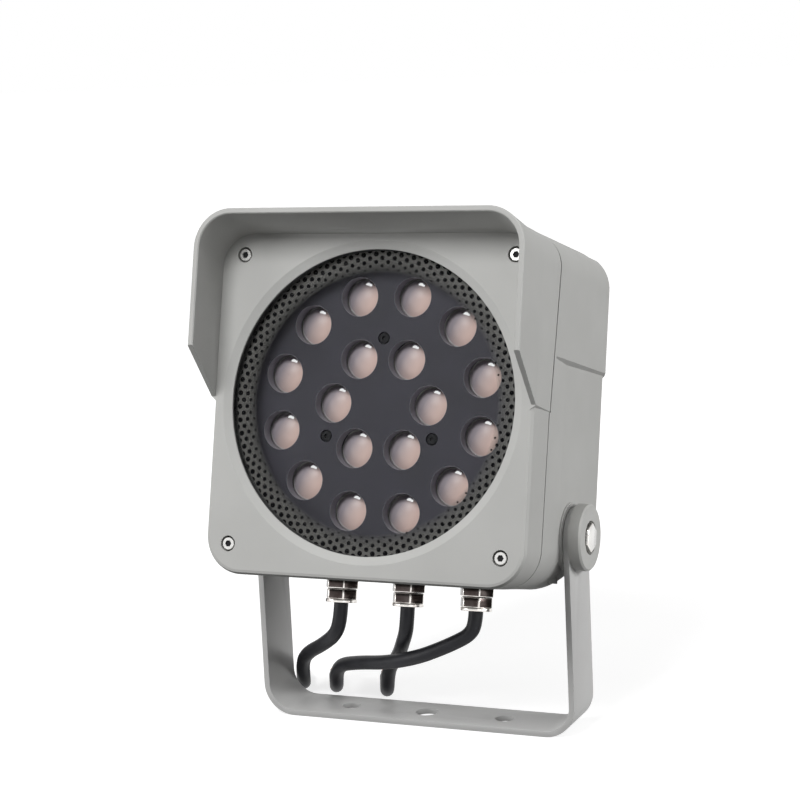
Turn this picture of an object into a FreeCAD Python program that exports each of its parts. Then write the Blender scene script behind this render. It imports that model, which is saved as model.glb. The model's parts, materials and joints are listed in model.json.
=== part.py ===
# Led flood light on a U bracket, as a parametric FreeCAD document.
# Millimetres. +Z up, +X to the right of the lit face, the lit face looks towards -Y.
# The bracket stands on Z = 0, centred on the origin.
# The pieces of the head are drawn upright, with the tilt axis as their X axis, and are then placed as one.

import FreeCAD
import Part
import Sketcher
import math
import os

from FreeCAD import Placement, Rotation, Vector

os.makedirs("parts", exist_ok=True)
doc = FreeCAD.newDocument("FloodLight")


# Sizes

SIZES = {
    "pivot_height": 135,  # tilt axis above the bracket's underside
    "rest_tilt_degrees": 14.7,  # degrees that the lit face leans back at rest
    "strip_width": 40,  # width of the bracket's strip
    "strip_thickness": 4,  # thickness of the bracket's strip
    "bend_radius": 18,  # inside radius of the bracket's bends
    "base_hole_pitch": 116,  # between the two outer holes of the base
    "base_hole_dia": 13,  # the two outer holes of the base
    "centre_hole_dia": 16,  # the middle hole of the base
    "head_width": 228,  # front frame, side to side
    "extra_height": 6,  # how much taller than wide the front frame is
    "optic_height": 80,  # centre of the glass above the tilt axis
    "corner_radius": 26,  # corners of the front frame
    "face_depth": 96,  # lit face in front of the tilt axis
    "back_depth": 58,  # back of the fins behind the tilt axis
    "flank_draft": 0.6,  # how much narrower the frame is at the seal line, each side
    "flank_depth": 66,  # where the frame starts to narrow, in front of the tilt axis
    "waist_inset": 4,  # how much narrower the housing is between the bracket's arms, each side
    "waist_radius": 30,  # corners of the housing between the bracket's arms
    "waist_depth": 24,  # where the waist starts, in front of the tilt axis
    "wall": 5,  # walls of the castings
    "face_thickness": 6,  # front wall of the frame
    "back_wall": 8,  # wall between the inside and the fins
    "fin_length": 24,  # how far the fins stand out
    "fin_slot": 8.5,  # air gap between two fins
    "fin_pitch": 12.2,  # from fin to fin
    "heel_start": 5,  # where the bottom starts to slope up, behind the tilt axis
    "heel_height": 27,  # where this slope meets the back, above the tilt axis
    "heel_wall": 8,  # wall above the slope, measured upright
    "back_round": 18,  # rounding of the top edge at the back
    "back_edge_round": 5,  # rounding of the back's other edges
    "face_round": 3,  # rounding of the lit face's edge
    "split_depth": 62,  # seal line in front of the tilt axis, at the glass's height
    "split_lean_degrees": 5,  # degrees that the seal line leans back above the glass's centre
    "split_low_degrees": 1.4,  # degrees that it leans back below there
    "seal_thickness": 1.5,  # housing seal
    "seal_inset": 2.2,  # how far the housing seal stays behind the surface
    "hood_depth": 37,  # hood in front of the lit face
    "hood_wall": 3.8,  # wall of the hood at its rim
    "rim_bevel": 0.7,  # bevels of the hood's rim
    "hood_proud": 1.8,  # hood's root outside the frame, each side
    "shoulder_inset": 2.2,  # how much the shoulders narrow from the hood's root to the seal line, each side
    "shoulder_draft": 1.6,  # how much they narrow from there to the back, each side
    "hood_flare": 0.7,  # how much further out the hood's rim is, each side
    "hood_rise": 4,  # how much higher the hood's rim is than its root
    "hood_slope": 8,  # how much the hood's roof gets thicker towards its root
    "shoulder_height": 81,  # lower edge of the hood's root above the tilt axis
    "rim_height": 112,  # lower corner of the hood's rim above the tilt axis
    "step_height": 118,  # lower edge of the rear shoulders above the tilt axis
    "shoulder_depth": 61,  # where the front shoulder ends, in front of the tilt axis
    "step_depth": 56,  # where the rear shoulder starts, in front of the tilt axis
    "ledge_degrees": 40,  # degrees of the slope under the shoulders
    "boss_dia": 46,  # pads of the housing at the pivots
    "boss_rise": 1,  # how far these pads stand out
    "washer_thickness": 0.9,  # friction washers
    "running_gap": 0.1,  # between a washer or disc and the bracket's arm
    "disc_dia": 45,  # pivot discs
    "disc_thickness": 8.5,  # pivot discs
    "disc_recess_dia": 23,  # recess of a pivot disc
    "disc_recess_depth": 5,  # recess of a pivot disc
    "pivot_bolt_dia": 10,  # pivot bolts
    "pivot_clearance": 0.08,  # around a pivot bolt in the bracket's arm
    "pivot_head_flats": 17,  # across the flats of a pivot bolt's head
    "pivot_head_height": 6.4,  # head of a pivot bolt
    "pivot_thread": 14,  # pivot bolt inside the housing
    "face_rim": 13,  # frame left beside the clear opening
    "opening_chamfer": 5.6,  # width of the bevel round the opening
    "chamfer_depth": 2.2,  # depth of the bevel round the opening
    "lip_thickness": 1,  # straight edge behind the bevel
    "glass_cover": 3,  # how far the glass reaches past the opening
    "glass_thickness": 5,  # front glass
    "glass_seal": 1,  # thickness of the glass seal
    "seal_cover": 3.2,  # how far the glass seal covers the glass's edge
    "clamp_thickness": 2.5,  # ring behind the glass
    "clamp_cover": 5,  # how far the ring covers the glass
    "clamp_ear": 9,  # radius of the ring's ears
    "plate_depth": 19,  # lens plate behind the lit face
    "plate_gap": 1,  # how much smaller than the glass the lens plate is, each side
    "plate_thickness": 3,  # lens plate
    "plate_skirt": 9,  # rim at the lens plate's edge, front to back
    "well_gap": 0.2,  # between a lens and its well
    "well_wall": 1.4,  # wall of a well
    "well_depth": 9,  # depth of a well
    "outer_ring": 147.6,  # pitch circle of the twelve outer lenses
    "inner_ring": 68.6,  # pitch circle of the six inner lenses
    "lens_dia": 26.2,  # lens
    "lens_reach": 3.5,  # how far a lens stands into its well
    "lens_crown": 5,  # how far the lens's front bulges
    "lens_edge": 1.6,  # rim of a lens
    "lens_foot_dia": 13,  # foot of a lens on the board
    "lens_height": 17.9,  # lens, foot to crown
    "led_dia": 5,  # led
    "led_height": 1.6,  # led
    "led_pocket": 9.2,  # hollow over the led in a lens's foot
    "board_margin": 12,  # how much smaller than the lens plate the led board is, each side
    "board_thickness": 2,  # led board
    "carrier_gap": 1,  # how much smaller than the lens plate the carrier is, each side
    "carrier_thickness": 6,  # plate that carries the led board
    "carrier_screw_edge": 7,  # from the carrier's screws to its edge
    "post_dia": 11,  # posts of the housing under the carrier
    "plate_screw_circle": 88,  # pitch circle of the lens plate's screws
    "plate_screw_recess": 8.4,  # hollow round a lens plate screw's head
    "small_head_dia": 7.2,  # heads of the small screws
    "small_head_height": 2.6,  # heads of the small screws
    "small_screw_dia": 4,  # small screws
    "small_screw_grip": 7,  # small screw in its thread
    "corner_inset": 17,  # from the corner screws to the frame's sides
    "corner_head_dia": 8.6,  # heads of the corner screws
    "corner_head_height": 5,  # heads of the corner screws
    "corner_screw_dia": 5,  # corner screws
    "corner_screw_length": 50,  # corner screws under the head
    "corner_bore_dia": 10.6,  # hollow round a corner screw's head
    "corner_bore_depth": 5.6,  # hollow round a corner screw's head
    "corner_boss_dia": 18,  # bosses round the corner screws
    "corner_boss_end": 36,  # where these bosses end, in front of the tilt axis
    "gland_pitch": 50,  # between two cable glands
    "gland_depth": 11.8,  # cable glands in front of the tilt axis
    "gland_hex": 21,  # across the flats of a gland's body
    "gland_body_height": 6.6,  # gland body below the housing
    "gland_nut_hex": 20,  # across the flats of a gland's nut
    "gland_nut_height": 6.4,  # straight part of a gland's nut
    "gland_dome_height": 3.4,  # rounded end of a gland's nut
    "gland_dome_dia": 15,  # end face of a gland's nut
    "gland_thread_dia": 16,  # thread of a gland in the housing
    "gland_thread_length": 11,  # thread of a gland in the housing
    "gland_bore_dia": 11.4,  # bore of a gland
    "locknut_hex": 22,  # across the flats of a gland's inner nut
    "locknut_height": 4,  # inner nut of a gland
    "cord_dia": 10,  # cables
    "cord_hold_dia": 9.6,  # hole of a gland's rubber seal
    "foot_boss_dia": 9,  # small bosses under the housing's corners
    "foot_boss_low": 32,  # lower end of these bosses, below the tilt axis
    "foot_boss_length": 10,  # bosses under the housing's corners
    "foot_boss_pitch": 196,  # between these two bosses
    "driver_length": 100,  # led driver
    "driver_width": 62,  # led driver
    "driver_thickness": 34,  # led driver
    "driver_height": 128,  # centre of the driver above the tilt axis
    "driver_ear": 8,  # ears of the driver, each end
    "terminal_length": 72,  # terminal block
    "terminal_width": 24,  # terminal block
    "terminal_thickness": 18,  # terminal block
    "terminal_height": 40,  # centre of the terminal block above the tilt axis
}

class Size:
    """A number together with the expression that ties it to the sheet."""

    def __init__(self, value, text=None):
        self.value = float(value)
        self.text = text if text else repr(round(float(value), 6))

    def __add__(self, other):
        other = as_size(other)
        return Size(self.value + other.value, f"({self.text} + {other.text})")

    def __sub__(self, other):
        other = as_size(other)
        return Size(self.value - other.value, f"({self.text} - {other.text})")

    def __mul__(self, other):
        other = as_size(other)
        return Size(self.value * other.value, f"({self.text} * {other.text})")

    def __truediv__(self, other):
        other = as_size(other)
        return Size(self.value / other.value, f"({self.text} / {other.text})")

    def __neg__(self):
        return Size(-self.value, f"(0 - {self.text})")

    __radd__ = __add__
    __rmul__ = __mul__

    def __rsub__(self, other):
        return as_size(other) - self


def as_size(number):
    return number if isinstance(number, Size) else Size(number)


def slope_of(angle):
    """The tangent of an angle of the sheet."""
    return Size(math.tan(math.radians(angle.value)), f"tan({angle.text} * 1deg)")


class Sheet:
    """The spreadsheet of driving dimensions. Each cell's alias is also an attribute that gives its Size."""

    def __init__(self, document, rows):
        sheet = document.addObject("Spreadsheet::Sheet", "Sizes")
        for row, (alias, number) in enumerate(rows.items(), start=1):
            sheet.set(f"A{row}", alias)
            sheet.set(f"B{row}", str(number))
            sheet.setAlias(f"B{row}", alias)
            setattr(self, alias, Size(number, f"Sizes.{alias}"))


S = Sheet(doc, SIZES)

VIEWS = {"front": ("y", Rotation(Vector(1, 0, 0), 90)), "side": ("x", Rotation(Vector(1, 1, 1), 120))}
TURN_TO_Y = Rotation(Vector(1, 0, 0), -90)
HEAD = Placement(Vector(0, 0, S.pivot_height.value), Rotation(Vector(1, 0, 0), -S.rest_tilt_degrees.value))

nodes = {}


def bind(obj, **sizes):
    """Ties properties of an object to the sheet."""
    for prop, size in sizes.items():
        obj.setExpression(prop.replace("__", "."), as_size(size).text)


def node(name, obj, placement=None):
    """Registers an object as one of the part's pieces, and moves it to its place."""
    if placement is not None:
        obj.Placement = placement
    obj.Label = name
    nodes[name] = obj
    return obj


# Sketches

def sketch(name, view, distance=0):
    """A free sketch. Its plane lies at Y = distance in the front view, at X = distance in the side view."""
    result = doc.addObject("Sketcher::SketchObject", name)
    side, rotation = VIEWS[view]
    offset = as_size(distance)
    base = Vector(*(offset.value if axis == side else 0 for axis in "xyz"))
    result.Placement = Placement(base, rotation)
    result.setExpression(f"Placement.Base.{side}", offset.text)
    return result


def body_sketch(body, name, role, distance=0):
    """A sketch on one of the body's own origin planes."""
    plane = [f for f in body.Origin.OriginFeatures if f.Role == role][0]
    result = body.newObject("Sketcher::SketchObject", name)
    result.AttachmentSupport = (plane, [""])
    result.MapMode = "FlatFace"
    result.setExpression("AttachmentOffset.Base.z", as_size(distance).text)
    return result


def fix_point(drawing, geometry, point, place):
    """Ties a sketch point to the sheet, by its distances from the sketch's origin."""
    for kind, axis, size in (("DistanceX", -2, place[0]), ("DistanceY", -1, place[1])):
        size = as_size(size)
        if abs(size.value) < 1e-9:
            drawing.addConstraint(Sketcher.Constraint("PointOnObject", geometry, point, axis))
        else:
            number = drawing.addConstraint(Sketcher.Constraint(kind, -1, 1, geometry, point, size.value))
            drawing.setExpression(f"Constraints[{number}]", size.text)


def vector_of(place):
    return Vector(as_size(place[0]).value, as_size(place[1]).value, 0)


def draw_polygon(drawing, places, arcs=None):
    """A closed outline. arcs gives, for the side that starts at a place, its centre, radius and sense."""
    arcs = arcs or {}
    count = len(places)
    first = drawing.GeometryCount
    ends = []
    for k in range(count):
        start, end = vector_of(places[k]), vector_of(places[(k + 1) % count])
        if k not in arcs:
            drawing.addGeometry(Part.LineSegment(start, end))
            ends.append((1, 2))
            continue
        centre, radius, anticlockwise = arcs[k]
        middle = vector_of(centre)
        if not anticlockwise:
            start, end = end, start
        angles = [math.atan2(point.y - middle.y, point.x - middle.x) for point in (start, end)]
        circle = Part.Circle(middle, Vector(0, 0, 1), as_size(radius).value)
        drawing.addGeometry(Part.ArcOfCircle(circle, *angles))
        ends.append((1, 2) if anticlockwise else (2, 1))
    for k in range(count):
        after = (k + 1) % count
        drawing.addConstraint(Sketcher.Constraint("Coincident", first + k, ends[k][1], first + after, ends[after][0]))
        fix_point(drawing, first + k, ends[k][0], places[k])
        if k in arcs:
            radius = as_size(arcs[k][1])
            rule = drawing.addConstraint(Sketcher.Constraint("Radius", first + k, radius.value))
            drawing.setExpression(f"Constraints[{rule}]", radius.text)


def draw_circle(drawing, place, diameter):
    number = drawing.addGeometry(Part.Circle(vector_of(place), Vector(0, 0, 1), as_size(diameter).value / 2))
    fix_point(drawing, number, 3, place)
    rule = drawing.addConstraint(Sketcher.Constraint("Diameter", number, as_size(diameter).value))
    drawing.setExpression(f"Constraints[{rule}]", as_size(diameter).text)


def draw_rounded_rectangle(drawing, half_width, low, high, radius):
    """A rectangle from low to high, centred on the vertical axis, with round corners."""
    half, low, high, radius = (as_size(size) for size in (half_width, low, high, radius))
    first = drawing.GeometryCount
    corners = [(half - radius, low + radius, -90), (half - radius, high - radius, 0),
               (radius - half, high - radius, 90), (radius - half, low + radius, 180)]
    for across, up, start in corners:
        centre = Vector(across.value, up.value, 0)
        circle = Part.Circle(centre, Vector(0, 0, 1), radius.value)
        drawing.addGeometry(Part.ArcOfCircle(circle, math.radians(start), math.radians(start + 90)))
    for k in range(4):
        ends = drawing.getPoint(first + k, 2), drawing.getPoint(first + (k + 1) % 4, 1)
        drawing.addGeometry(Part.LineSegment(*ends))
    for k in range(4):
        drawing.addConstraint(Sketcher.Constraint("Tangent", first + k, 2, first + 4 + k, 1))
        drawing.addConstraint(Sketcher.Constraint("Tangent", first + 4 + k, 2, first + (k + 1) % 4, 1))
    for k in range(3):
        drawing.addConstraint(Sketcher.Constraint("Equal", first, first + k + 1))
    drawing.addConstraint(Sketcher.Constraint("Vertical", first + 4))
    rule = drawing.addConstraint(Sketcher.Constraint("Radius", first, radius.value))
    drawing.setExpression(f"Constraints[{rule}]", radius.text)
    fix_point(drawing, first, 3, corners[0][:2])
    fix_point(drawing, first + 2, 3, corners[2][:2])


def draw_hexagon(drawing, place, flats):
    """A hexagon with two level sides, by the places of its corners."""
    across, up = as_size(place[0]), as_size(place[1])
    corner = as_size(flats) / math.sqrt(3)
    turns = [math.radians(60 * k) for k in range(6)]
    draw_polygon(drawing, [(across + corner * math.cos(t), up + corner * math.sin(t)) for t in turns])


# Features

def extrusion(name, profile, direction, length, both_ways=False, taper=0):
    result = doc.addObject("Part::Extrusion", name)
    result.Base = profile
    result.DirMode = "Custom"
    result.Dir = direction
    result.Solid = True
    result.Symmetric = both_ways
    bind(result, LengthFwd=length, TaperAngle=taper)
    return result


def loft(name, profiles):
    result = doc.addObject("Part::Loft", name)
    result.Sections = profiles
    result.Solid = True
    result.Ruled = True
    return result


def joined(name, pieces):
    result = doc.addObject("Part::MultiFuse", name)
    result.Shapes = pieces
    return result


def shared(name, pieces):
    result = doc.addObject("Part::MultiCommon", name)
    result.Shapes = pieces
    return result


def cut(name, base, tool):
    result = doc.addObject("Part::Cut", name)
    result.Base = base
    result.Tool = tool
    return result


def rod(name, diameter, length, place, rotation=None):
    """A cylinder from a place, along Z turned by a rotation."""
    result = doc.addObject("Part::Cylinder", name)
    result.Placement = Placement(Vector(*(as_size(v).value for v in place)), rotation or Rotation())
    bind(result, Radius=as_size(diameter) / 2, Height=length, Placement__Base__x=place[0],
         Placement__Base__y=place[1], Placement__Base__z=place[2])
    return result


def block(name, lengths, place, rotation=None):
    """A box with its lowest corner at a place."""
    result = doc.addObject("Part::Box", name)
    result.Placement = Placement(Vector(*(as_size(v).value for v in place)), rotation or Rotation())
    bind(result, Length=lengths[0], Width=lengths[1], Height=lengths[2], Placement__Base__x=place[0],
         Placement__Base__y=place[1], Placement__Base__z=place[2])
    return result


def new_body(name):
    return doc.addObject("PartDesign::Body", name)


def pad(body, name, profile, length, both_ways=False, reverse=False):
    result = body.newObject("PartDesign::Pad", name)
    result.Profile = profile
    result.Midplane = both_ways
    result.Reversed = reverse
    bind(result, Length=length)
    return result


def pocket(body, name, profile, both_ways=False, reverse=False, length=None):
    result = body.newObject("PartDesign::Pocket", name)
    result.Profile = profile
    result.Midplane = both_ways
    result.Reversed = reverse
    if length is None:
        result.Type = "ThroughAll"
    else:
        bind(result, Length=length)
    return result


def revolution(body, name, profile, axis="V_Axis"):
    result = body.newObject("PartDesign::Revolution", name)
    result.Profile = profile
    result.ReferenceAxis = (profile, [axis])
    result.Angle = 360
    return result


def turned(name, outline, placement):
    """A turned piece. Its outline is a list of (radius, height along its axis), and its axis is Z."""
    body = new_body(name.title().replace("_", ""))
    profile = body_sketch(body, f"{body.Name}Outline", "XZ_Plane")
    draw_polygon(profile, outline)
    revolution(body, f"{body.Name}Turn", profile)
    return node(name, body, placement)


def head_place(across=0, back=0, up=0, rotation=None):
    """The placement of a piece of the head, from its place beside the tilt axis."""
    base = Vector(as_size(across).value, as_size(back).value, as_size(up).value)
    return HEAD * Placement(base, rotation or Rotation())


# Places that several pieces share

head_half = S.head_width / 2
head_height = S.head_width + S.extra_height
head_low = S.optic_height - head_height / 2
head_high = S.optic_height + head_height / 2
waist_half = head_half - S.waist_inset
arm_inside = waist_half + S.boss_rise + S.washer_thickness + S.running_gap
face = -S.face_depth
back = S.back_depth
back_inner = back - S.fin_length - S.back_wall
waist = -S.waist_depth
root_half = head_half + S.hood_proud
root_high = head_high + S.hood_proud
rim = face - S.hood_depth
rim_half = root_half + S.hood_flare
rim_high = root_high + S.hood_rise
cavity_half = waist_half - S.wall
cavity_low = head_low + S.wall
cavity_high = head_high - S.wall
cavity_radius = S.corner_radius - S.wall
beyond = 40
glass_front = face + S.chamfer_depth + S.lip_thickness + S.glass_seal
glass_back = glass_front + S.glass_thickness
clamp_front = glass_back + S.glass_seal
clamp_back = clamp_front + S.clamp_thickness
clamp_grip = S.small_screw_grip - 3
opening_dia = S.head_width - S.face_rim * 2
glass_dia = opening_dia + S.glass_cover * 2
seat_dia = glass_dia + S.glass_seal * 2
clamp_circle = seat_dia + S.clamp_ear * 2
plate_dia = glass_dia - S.plate_gap * 2
well_dia = S.lens_dia + S.well_gap * 2
carrier_dia = plate_dia - S.carrier_gap * 2
plate_front = face + S.plate_depth
plate_back = plate_front + S.plate_thickness
well_back = plate_front + S.well_depth
board_front = well_back - S.lens_reach + S.lens_height
board_back = board_front + S.board_thickness
carrier_back = board_back + S.carrier_thickness
corner_half = head_half - S.corner_inset
corner_places = [(corner_half * i, S.optic_height + corner_half * k) for i in (-1, 1) for k in (-1, 1)]
diagonal = math.sqrt(0.5)


def ring_places(diameter, count, first_angle):
    """Places on a circle round the glass's axis, as distances to the right and up."""
    turns = [math.radians(first_angle + 360 / count * k) for k in range(count)]
    return [(diameter / 2 * math.cos(t), S.optic_height + diameter / 2 * math.sin(t)) for t in turns]


clamp_screws = ring_places(clamp_circle, 4, 45)
carrier_screws = ring_places(carrier_dia - S.carrier_screw_edge * 2, 4, 45)
plate_screws = ring_places(S.plate_screw_circle, 3, 90)
lens_places = ring_places(S.outer_ring, 12, 15) + ring_places(S.inner_ring, 6, 0)


# Outside of the head: frame, hood and housing before they are split

def section(name, distance, half, low, high, radius):
    profile = sketch(name, "front", distance)
    draw_rounded_rectangle(profile, half, low, high, radius)
    return profile


def soft_end(name, distance, inward, half, low, high, radius, size):
    """Sections that round the edge of a loft's end, the outermost one first."""
    steps = []
    for k, angle in enumerate((0, 35, 90)):
        inset = size * (1 - math.sin(math.radians(angle)))
        depth = size * ((1 - math.cos(math.radians(angle))) * inward)
        steps.append(section(f"{name}{k}", distance + depth, half - inset, low + inset, high - inset, radius - inset))
    return steps


def lower_shell():
    """The frame's square face, narrowing to a waist that passes between the bracket's arms."""
    radius = S.corner_radius
    front = soft_end("FaceEdge", face, 1, head_half, head_low, head_high, radius, S.face_round)
    rear = soft_end("BackEdge", back, -1, waist_half, head_low, head_high, S.waist_radius, S.back_edge_round)
    return loft("LowerShell", [
        *front,
        section("FlankSection", -S.flank_depth, head_half - S.flank_draft, head_low, head_high, radius),
        section("WaistSection", waist, waist_half, head_low, head_high, S.waist_radius),
        *reversed(rear),
    ])


def shoulders():
    """The wider upper half of the head. Its lower edge steps up from the frame to the back."""
    radius = S.corner_radius
    seam_half = root_half - S.shoulder_inset
    rear_half = seam_half - S.shoulder_draft
    rear = soft_end("WideEdge", back, -1, rear_half, head_low, root_high, radius, S.back_edge_round)
    wide = loft("WideShell", [
        section("RootSection", face, root_half, head_low, root_high, radius),
        section("SeamSection", -S.split_depth, seam_half, head_low, root_high, radius),
        *reversed(rear),
    ])
    edge = [(face - beyond, S.shoulder_height), (-S.shoulder_depth, S.shoulder_height),
            (-S.step_depth, S.step_height), (back + beyond, S.step_height),
            (back + beyond, root_high + beyond), (face - beyond, root_high + beyond)]
    reach = 14
    pieces = []
    for name, side in (("Right", 1), ("Left", -1)):
        profile = sketch(f"{name}Step", "side", root_half * side)
        draw_polygon(profile, edge)
        pieces.append(extrusion(f"{name}Ledge", profile, Vector(-side, 0, 0), reach, taper=S.ledge_degrees))
    middle = sketch("MiddleStep", "side", 0)
    draw_polygon(middle, edge)
    pieces.append(extrusion("MiddleLedge", middle, Vector(1, 0, 0), (root_half - reach + 1) * 2, True))
    return shared("Shoulders", [wide, joined("Steps", pieces)])


def hood():
    """The three-sided hood: a roof and two sides that slant back to the shoulders."""
    radius = S.corner_radius
    edge = S.rim_bevel
    outside = loft("HoodOutside", [
        section("RimSection", rim, rim_half - edge, head_low, rim_high - edge, radius - edge),
        section("RimEdgeSection", rim + edge, rim_half, head_low, rim_high, radius),
        section("HoodRootSection", face, root_half, head_low, root_high, radius),
    ])
    profile = sketch("HoodSide", "side", 0)
    draw_polygon(profile, [(rim - 1, S.rim_height), (rim, S.rim_height), (face, S.shoulder_height),
                           (face, rim_high + beyond), (rim - 1, rim_high + beyond)])
    side = extrusion("HoodSides", profile, Vector(1, 0, 0), rim_half * 2 + beyond, True)
    shape = shared("HoodForm", [outside, side])
    inner_radius = S.corner_radius - S.hood_wall
    inner_half = rim_half - S.hood_wall
    inner_high = rim_high - S.hood_wall
    low = head_low - beyond
    inside = loft("HoodInside", [
        section("RimInnerEdge", rim - edge, inner_half + edge * 2, low, inner_high + edge * 2, inner_radius + edge * 2),
        section("RimInner", rim + edge, inner_half, low, inner_high, inner_radius),
        section("RootInner", face, inner_half, low, inner_high - S.hood_slope, inner_radius),
    ])
    return cut("Hood", shape, inside)


def heel_space(name, lift):
    """The space below the slope from the bottom to the back, moved up by a height."""
    rise = (S.heel_height - head_low) / (back - S.heel_start)
    ahead = 20
    profile = sketch(f"{name}Side", "side", 0)
    draw_polygon(profile, [(S.heel_start - ahead, head_low + lift - rise * ahead),
                           (S.heel_start - ahead, head_low - beyond * 2), (back + beyond, head_low - beyond * 2),
                           (back + beyond, S.heel_height + lift + rise * beyond)])
    return extrusion(name, profile, Vector(1, 0, 0), rim_half * 3, True)


def back_profile(shape):
    """Rounds the top edge at the back, and slopes the bottom up to it."""
    profile = sketch("SideRound", "side", 0)
    high = rim_high + beyond
    front = back - S.back_round
    low = root_high - S.back_round
    draw_polygon(profile, [(front, root_high), (back, low), (back + beyond, low), (back + beyond, high),
                           (front, high)], {0: ((front, low), S.back_round, False)})
    top = extrusion("SideRoundCut", profile, Vector(1, 0, 0), rim_half * 3, True)
    return cut("RoundedHead", shape, joined("BackTools", [top, heel_space("HeelCut", 0)]))


def seal_places(offset):
    """Three places beside the leaning seal line, the lowest one first, seen from the side."""
    low, high = head_low - beyond, rim_high + beyond
    depth = offset - S.split_depth
    return [(depth + (low - S.optic_height) * slope_of(S.split_low_degrees), low), (depth, S.optic_height),
            (depth + (high - S.optic_height) * slope_of(S.split_lean_degrees), high)]


def split_side(name, shape, front):
    """The part of a shape in front of the leaning seal line, or behind it."""
    half_gap = S.seal_thickness / 2
    line = seal_places(-half_gap if front else half_gap)
    far = rim - beyond if front else back + beyond
    profile = sketch(f"{name}Side", "side", 0)
    draw_polygon(profile, [*line, (far, line[2][1]), (far, line[0][1])])
    space = extrusion(f"{name}Space", profile, Vector(1, 0, 0), rim_half * 3, True)
    return shared(name, [shape, space])


def cavity(name):
    """The hollow of the head behind the front wall."""
    wall_back = face + S.face_thickness
    wide_half = head_half - S.wall
    hollow = loft(name, [
        section(f"{name}Front", wall_back, wide_half, cavity_low, cavity_high, cavity_radius),
        section(f"{name}Waist", waist, cavity_half, cavity_low, cavity_high, cavity_radius),
        section(f"{name}Back", back_inner, cavity_half, cavity_low, cavity_high, cavity_radius),
    ])
    seat_rim = clamp_circle + S.clamp_ear * 2
    seat = rod(f"{name}Seat", seat_rim, clamp_front - wall_back, (0, wall_back, S.optic_height), TURN_TO_Y)
    return cut(f"{name}Hollow", hollow, joined(f"{name}Keep", [seat, heel_space(f"{name}Heel", S.heel_wall)]))


def corner_bosses(name):
    length = S.face_depth - S.corner_boss_end - 2
    pieces = [rod(f"{name}{k}", S.corner_boss_dia, length, (x, face + 2, z), TURN_TO_Y)
              for k, (x, z) in enumerate(corner_places)]
    return pieces


def front_frame(outside):
    """Front frame and hood, one casting."""
    front = split_side("FrontBlock", outside, True)
    hollow = cut("FrontHollow", front, cavity("FrameCavity"))
    bosses = split_side("FrameBossFit", joined("FrameBosses", corner_bosses("FrameBoss")), True)
    solid = joined("FrontSolid", [hollow, bosses])
    opening = new_body("Opening")
    outline = body_sketch(opening, "OpeningOutline", "XZ_Plane")
    radius = opening_dia / 2
    lip = S.chamfer_depth + S.lip_thickness
    draw_polygon(outline, [(0, -1), (radius + S.opening_chamfer * 1.4545, -1), (radius, S.chamfer_depth),
                           (radius, lip), (seat_dia / 2, lip), (seat_dia / 2, beyond), (0, beyond)])
    revolution(opening, "OpeningTurn", outline)
    opening.Placement = Placement(Vector(0, face.value, S.optic_height.value), TURN_TO_Y)
    tools = [opening]
    for k, (x, z) in enumerate(corner_places):
        tools.append(rod(f"CornerBore{k}", S.corner_bore_dia, S.corner_bore_depth, (x, face, z), TURN_TO_Y))
        tools.append(rod(f"CornerHole{k}", S.corner_screw_dia + 0.6, beyond * 2, (x, face, z), TURN_TO_Y))
    for k, (x, z) in enumerate(clamp_screws):
        start = clamp_front - clamp_grip - 1
        tools.append(rod(f"ClampHole{k}", S.small_screw_dia, S.small_screw_grip, (x, start, z), TURN_TO_Y))
    node("front_frame", cut("FrontFrame", solid, joined("FrontTools", tools)), HEAD)


def rear_housing(outside):
    """Rear housing, one casting with cooling fins, screw bosses, carrier posts and pivot pads."""
    rear = split_side("RearBlock", outside, False)
    hollow = cut("RearHollow", rear, cavity("HousingCavity"))
    bosses = split_side("HousingBossFit", joined("HousingBosses", corner_bosses("HousingBoss")), False)
    parts = [hollow, bosses]
    for k, (x, z) in enumerate(carrier_screws):
        parts.append(rod(f"Post{k}", S.post_dia, back_inner - carrier_back, (x, carrier_back, z), TURN_TO_Y))
    for name, side in (("Right", 1), ("Left", -1)):
        outward = Rotation(Vector(0, 1, 0), 90 * side)
        start = (waist_half - S.wall - S.pivot_thread) * side
        length = S.wall + S.pivot_thread + S.boss_rise
        parts.append(rod(f"{name}ThreadBoss", S.pivot_bolt_dia * 2, length, (start, 0, 0), outward))
        pad_start = (waist_half - S.wall / 2) * side
        parts.append(rod(f"{name}Pad", S.boss_dia, S.wall / 2 + S.boss_rise, (pad_start, 0, 0), outward))
        foot = (S.foot_boss_pitch / 2 * side, 0, -S.foot_boss_low)
        parts.append(rod(f"{name}FootBoss", S.foot_boss_dia, S.foot_boss_length, foot))
    solid = joined("RearSolid", parts)
    tools = []
    slots = int((cavity_half.value * 2 - S.fin_slot.value) // S.fin_pitch.value) + 1
    for k in range(slots):
        across = S.fin_pitch * (k - (slots - 1) / 2) - S.fin_slot / 2
        sizes = (S.fin_slot, S.fin_length + beyond, head_height + beyond * 2)
        tools.append(block(f"FinSlot{k}", sizes, (across, back - S.fin_length, head_low - beyond)))
    for name, side in (("Right", 1), ("Left", -1)):
        outward = Rotation(Vector(0, 1, 0), 90 * side)
        start = (waist_half - S.wall - S.pivot_thread + 3) * side
        tools.append(rod(f"{name}Thread", S.pivot_bolt_dia, S.pivot_thread + beyond, (start, 0, 0), outward))
    for k, (x, z) in enumerate(corner_places):
        tools.append(rod(f"CornerThread{k}", S.corner_screw_dia, beyond, (x, -S.corner_boss_end - beyond, z), TURN_TO_Y))
    for k, (x, z) in enumerate(carrier_screws):
        tools.append(rod(f"PostThread{k}", S.small_screw_dia, S.small_screw_grip + 2, (x, carrier_back, z), TURN_TO_Y))
    for k in (-1, 0, 1):
        hole = (S.gland_pitch * k, -S.gland_depth, head_low - 1)
        tools.append(rod(f"GlandHole{k + 1}", S.gland_thread_dia, S.wall + 2, hole))
    node("rear_housing", cut("RearHousing", solid, joined("RearTools", tools)), HEAD)


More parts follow.
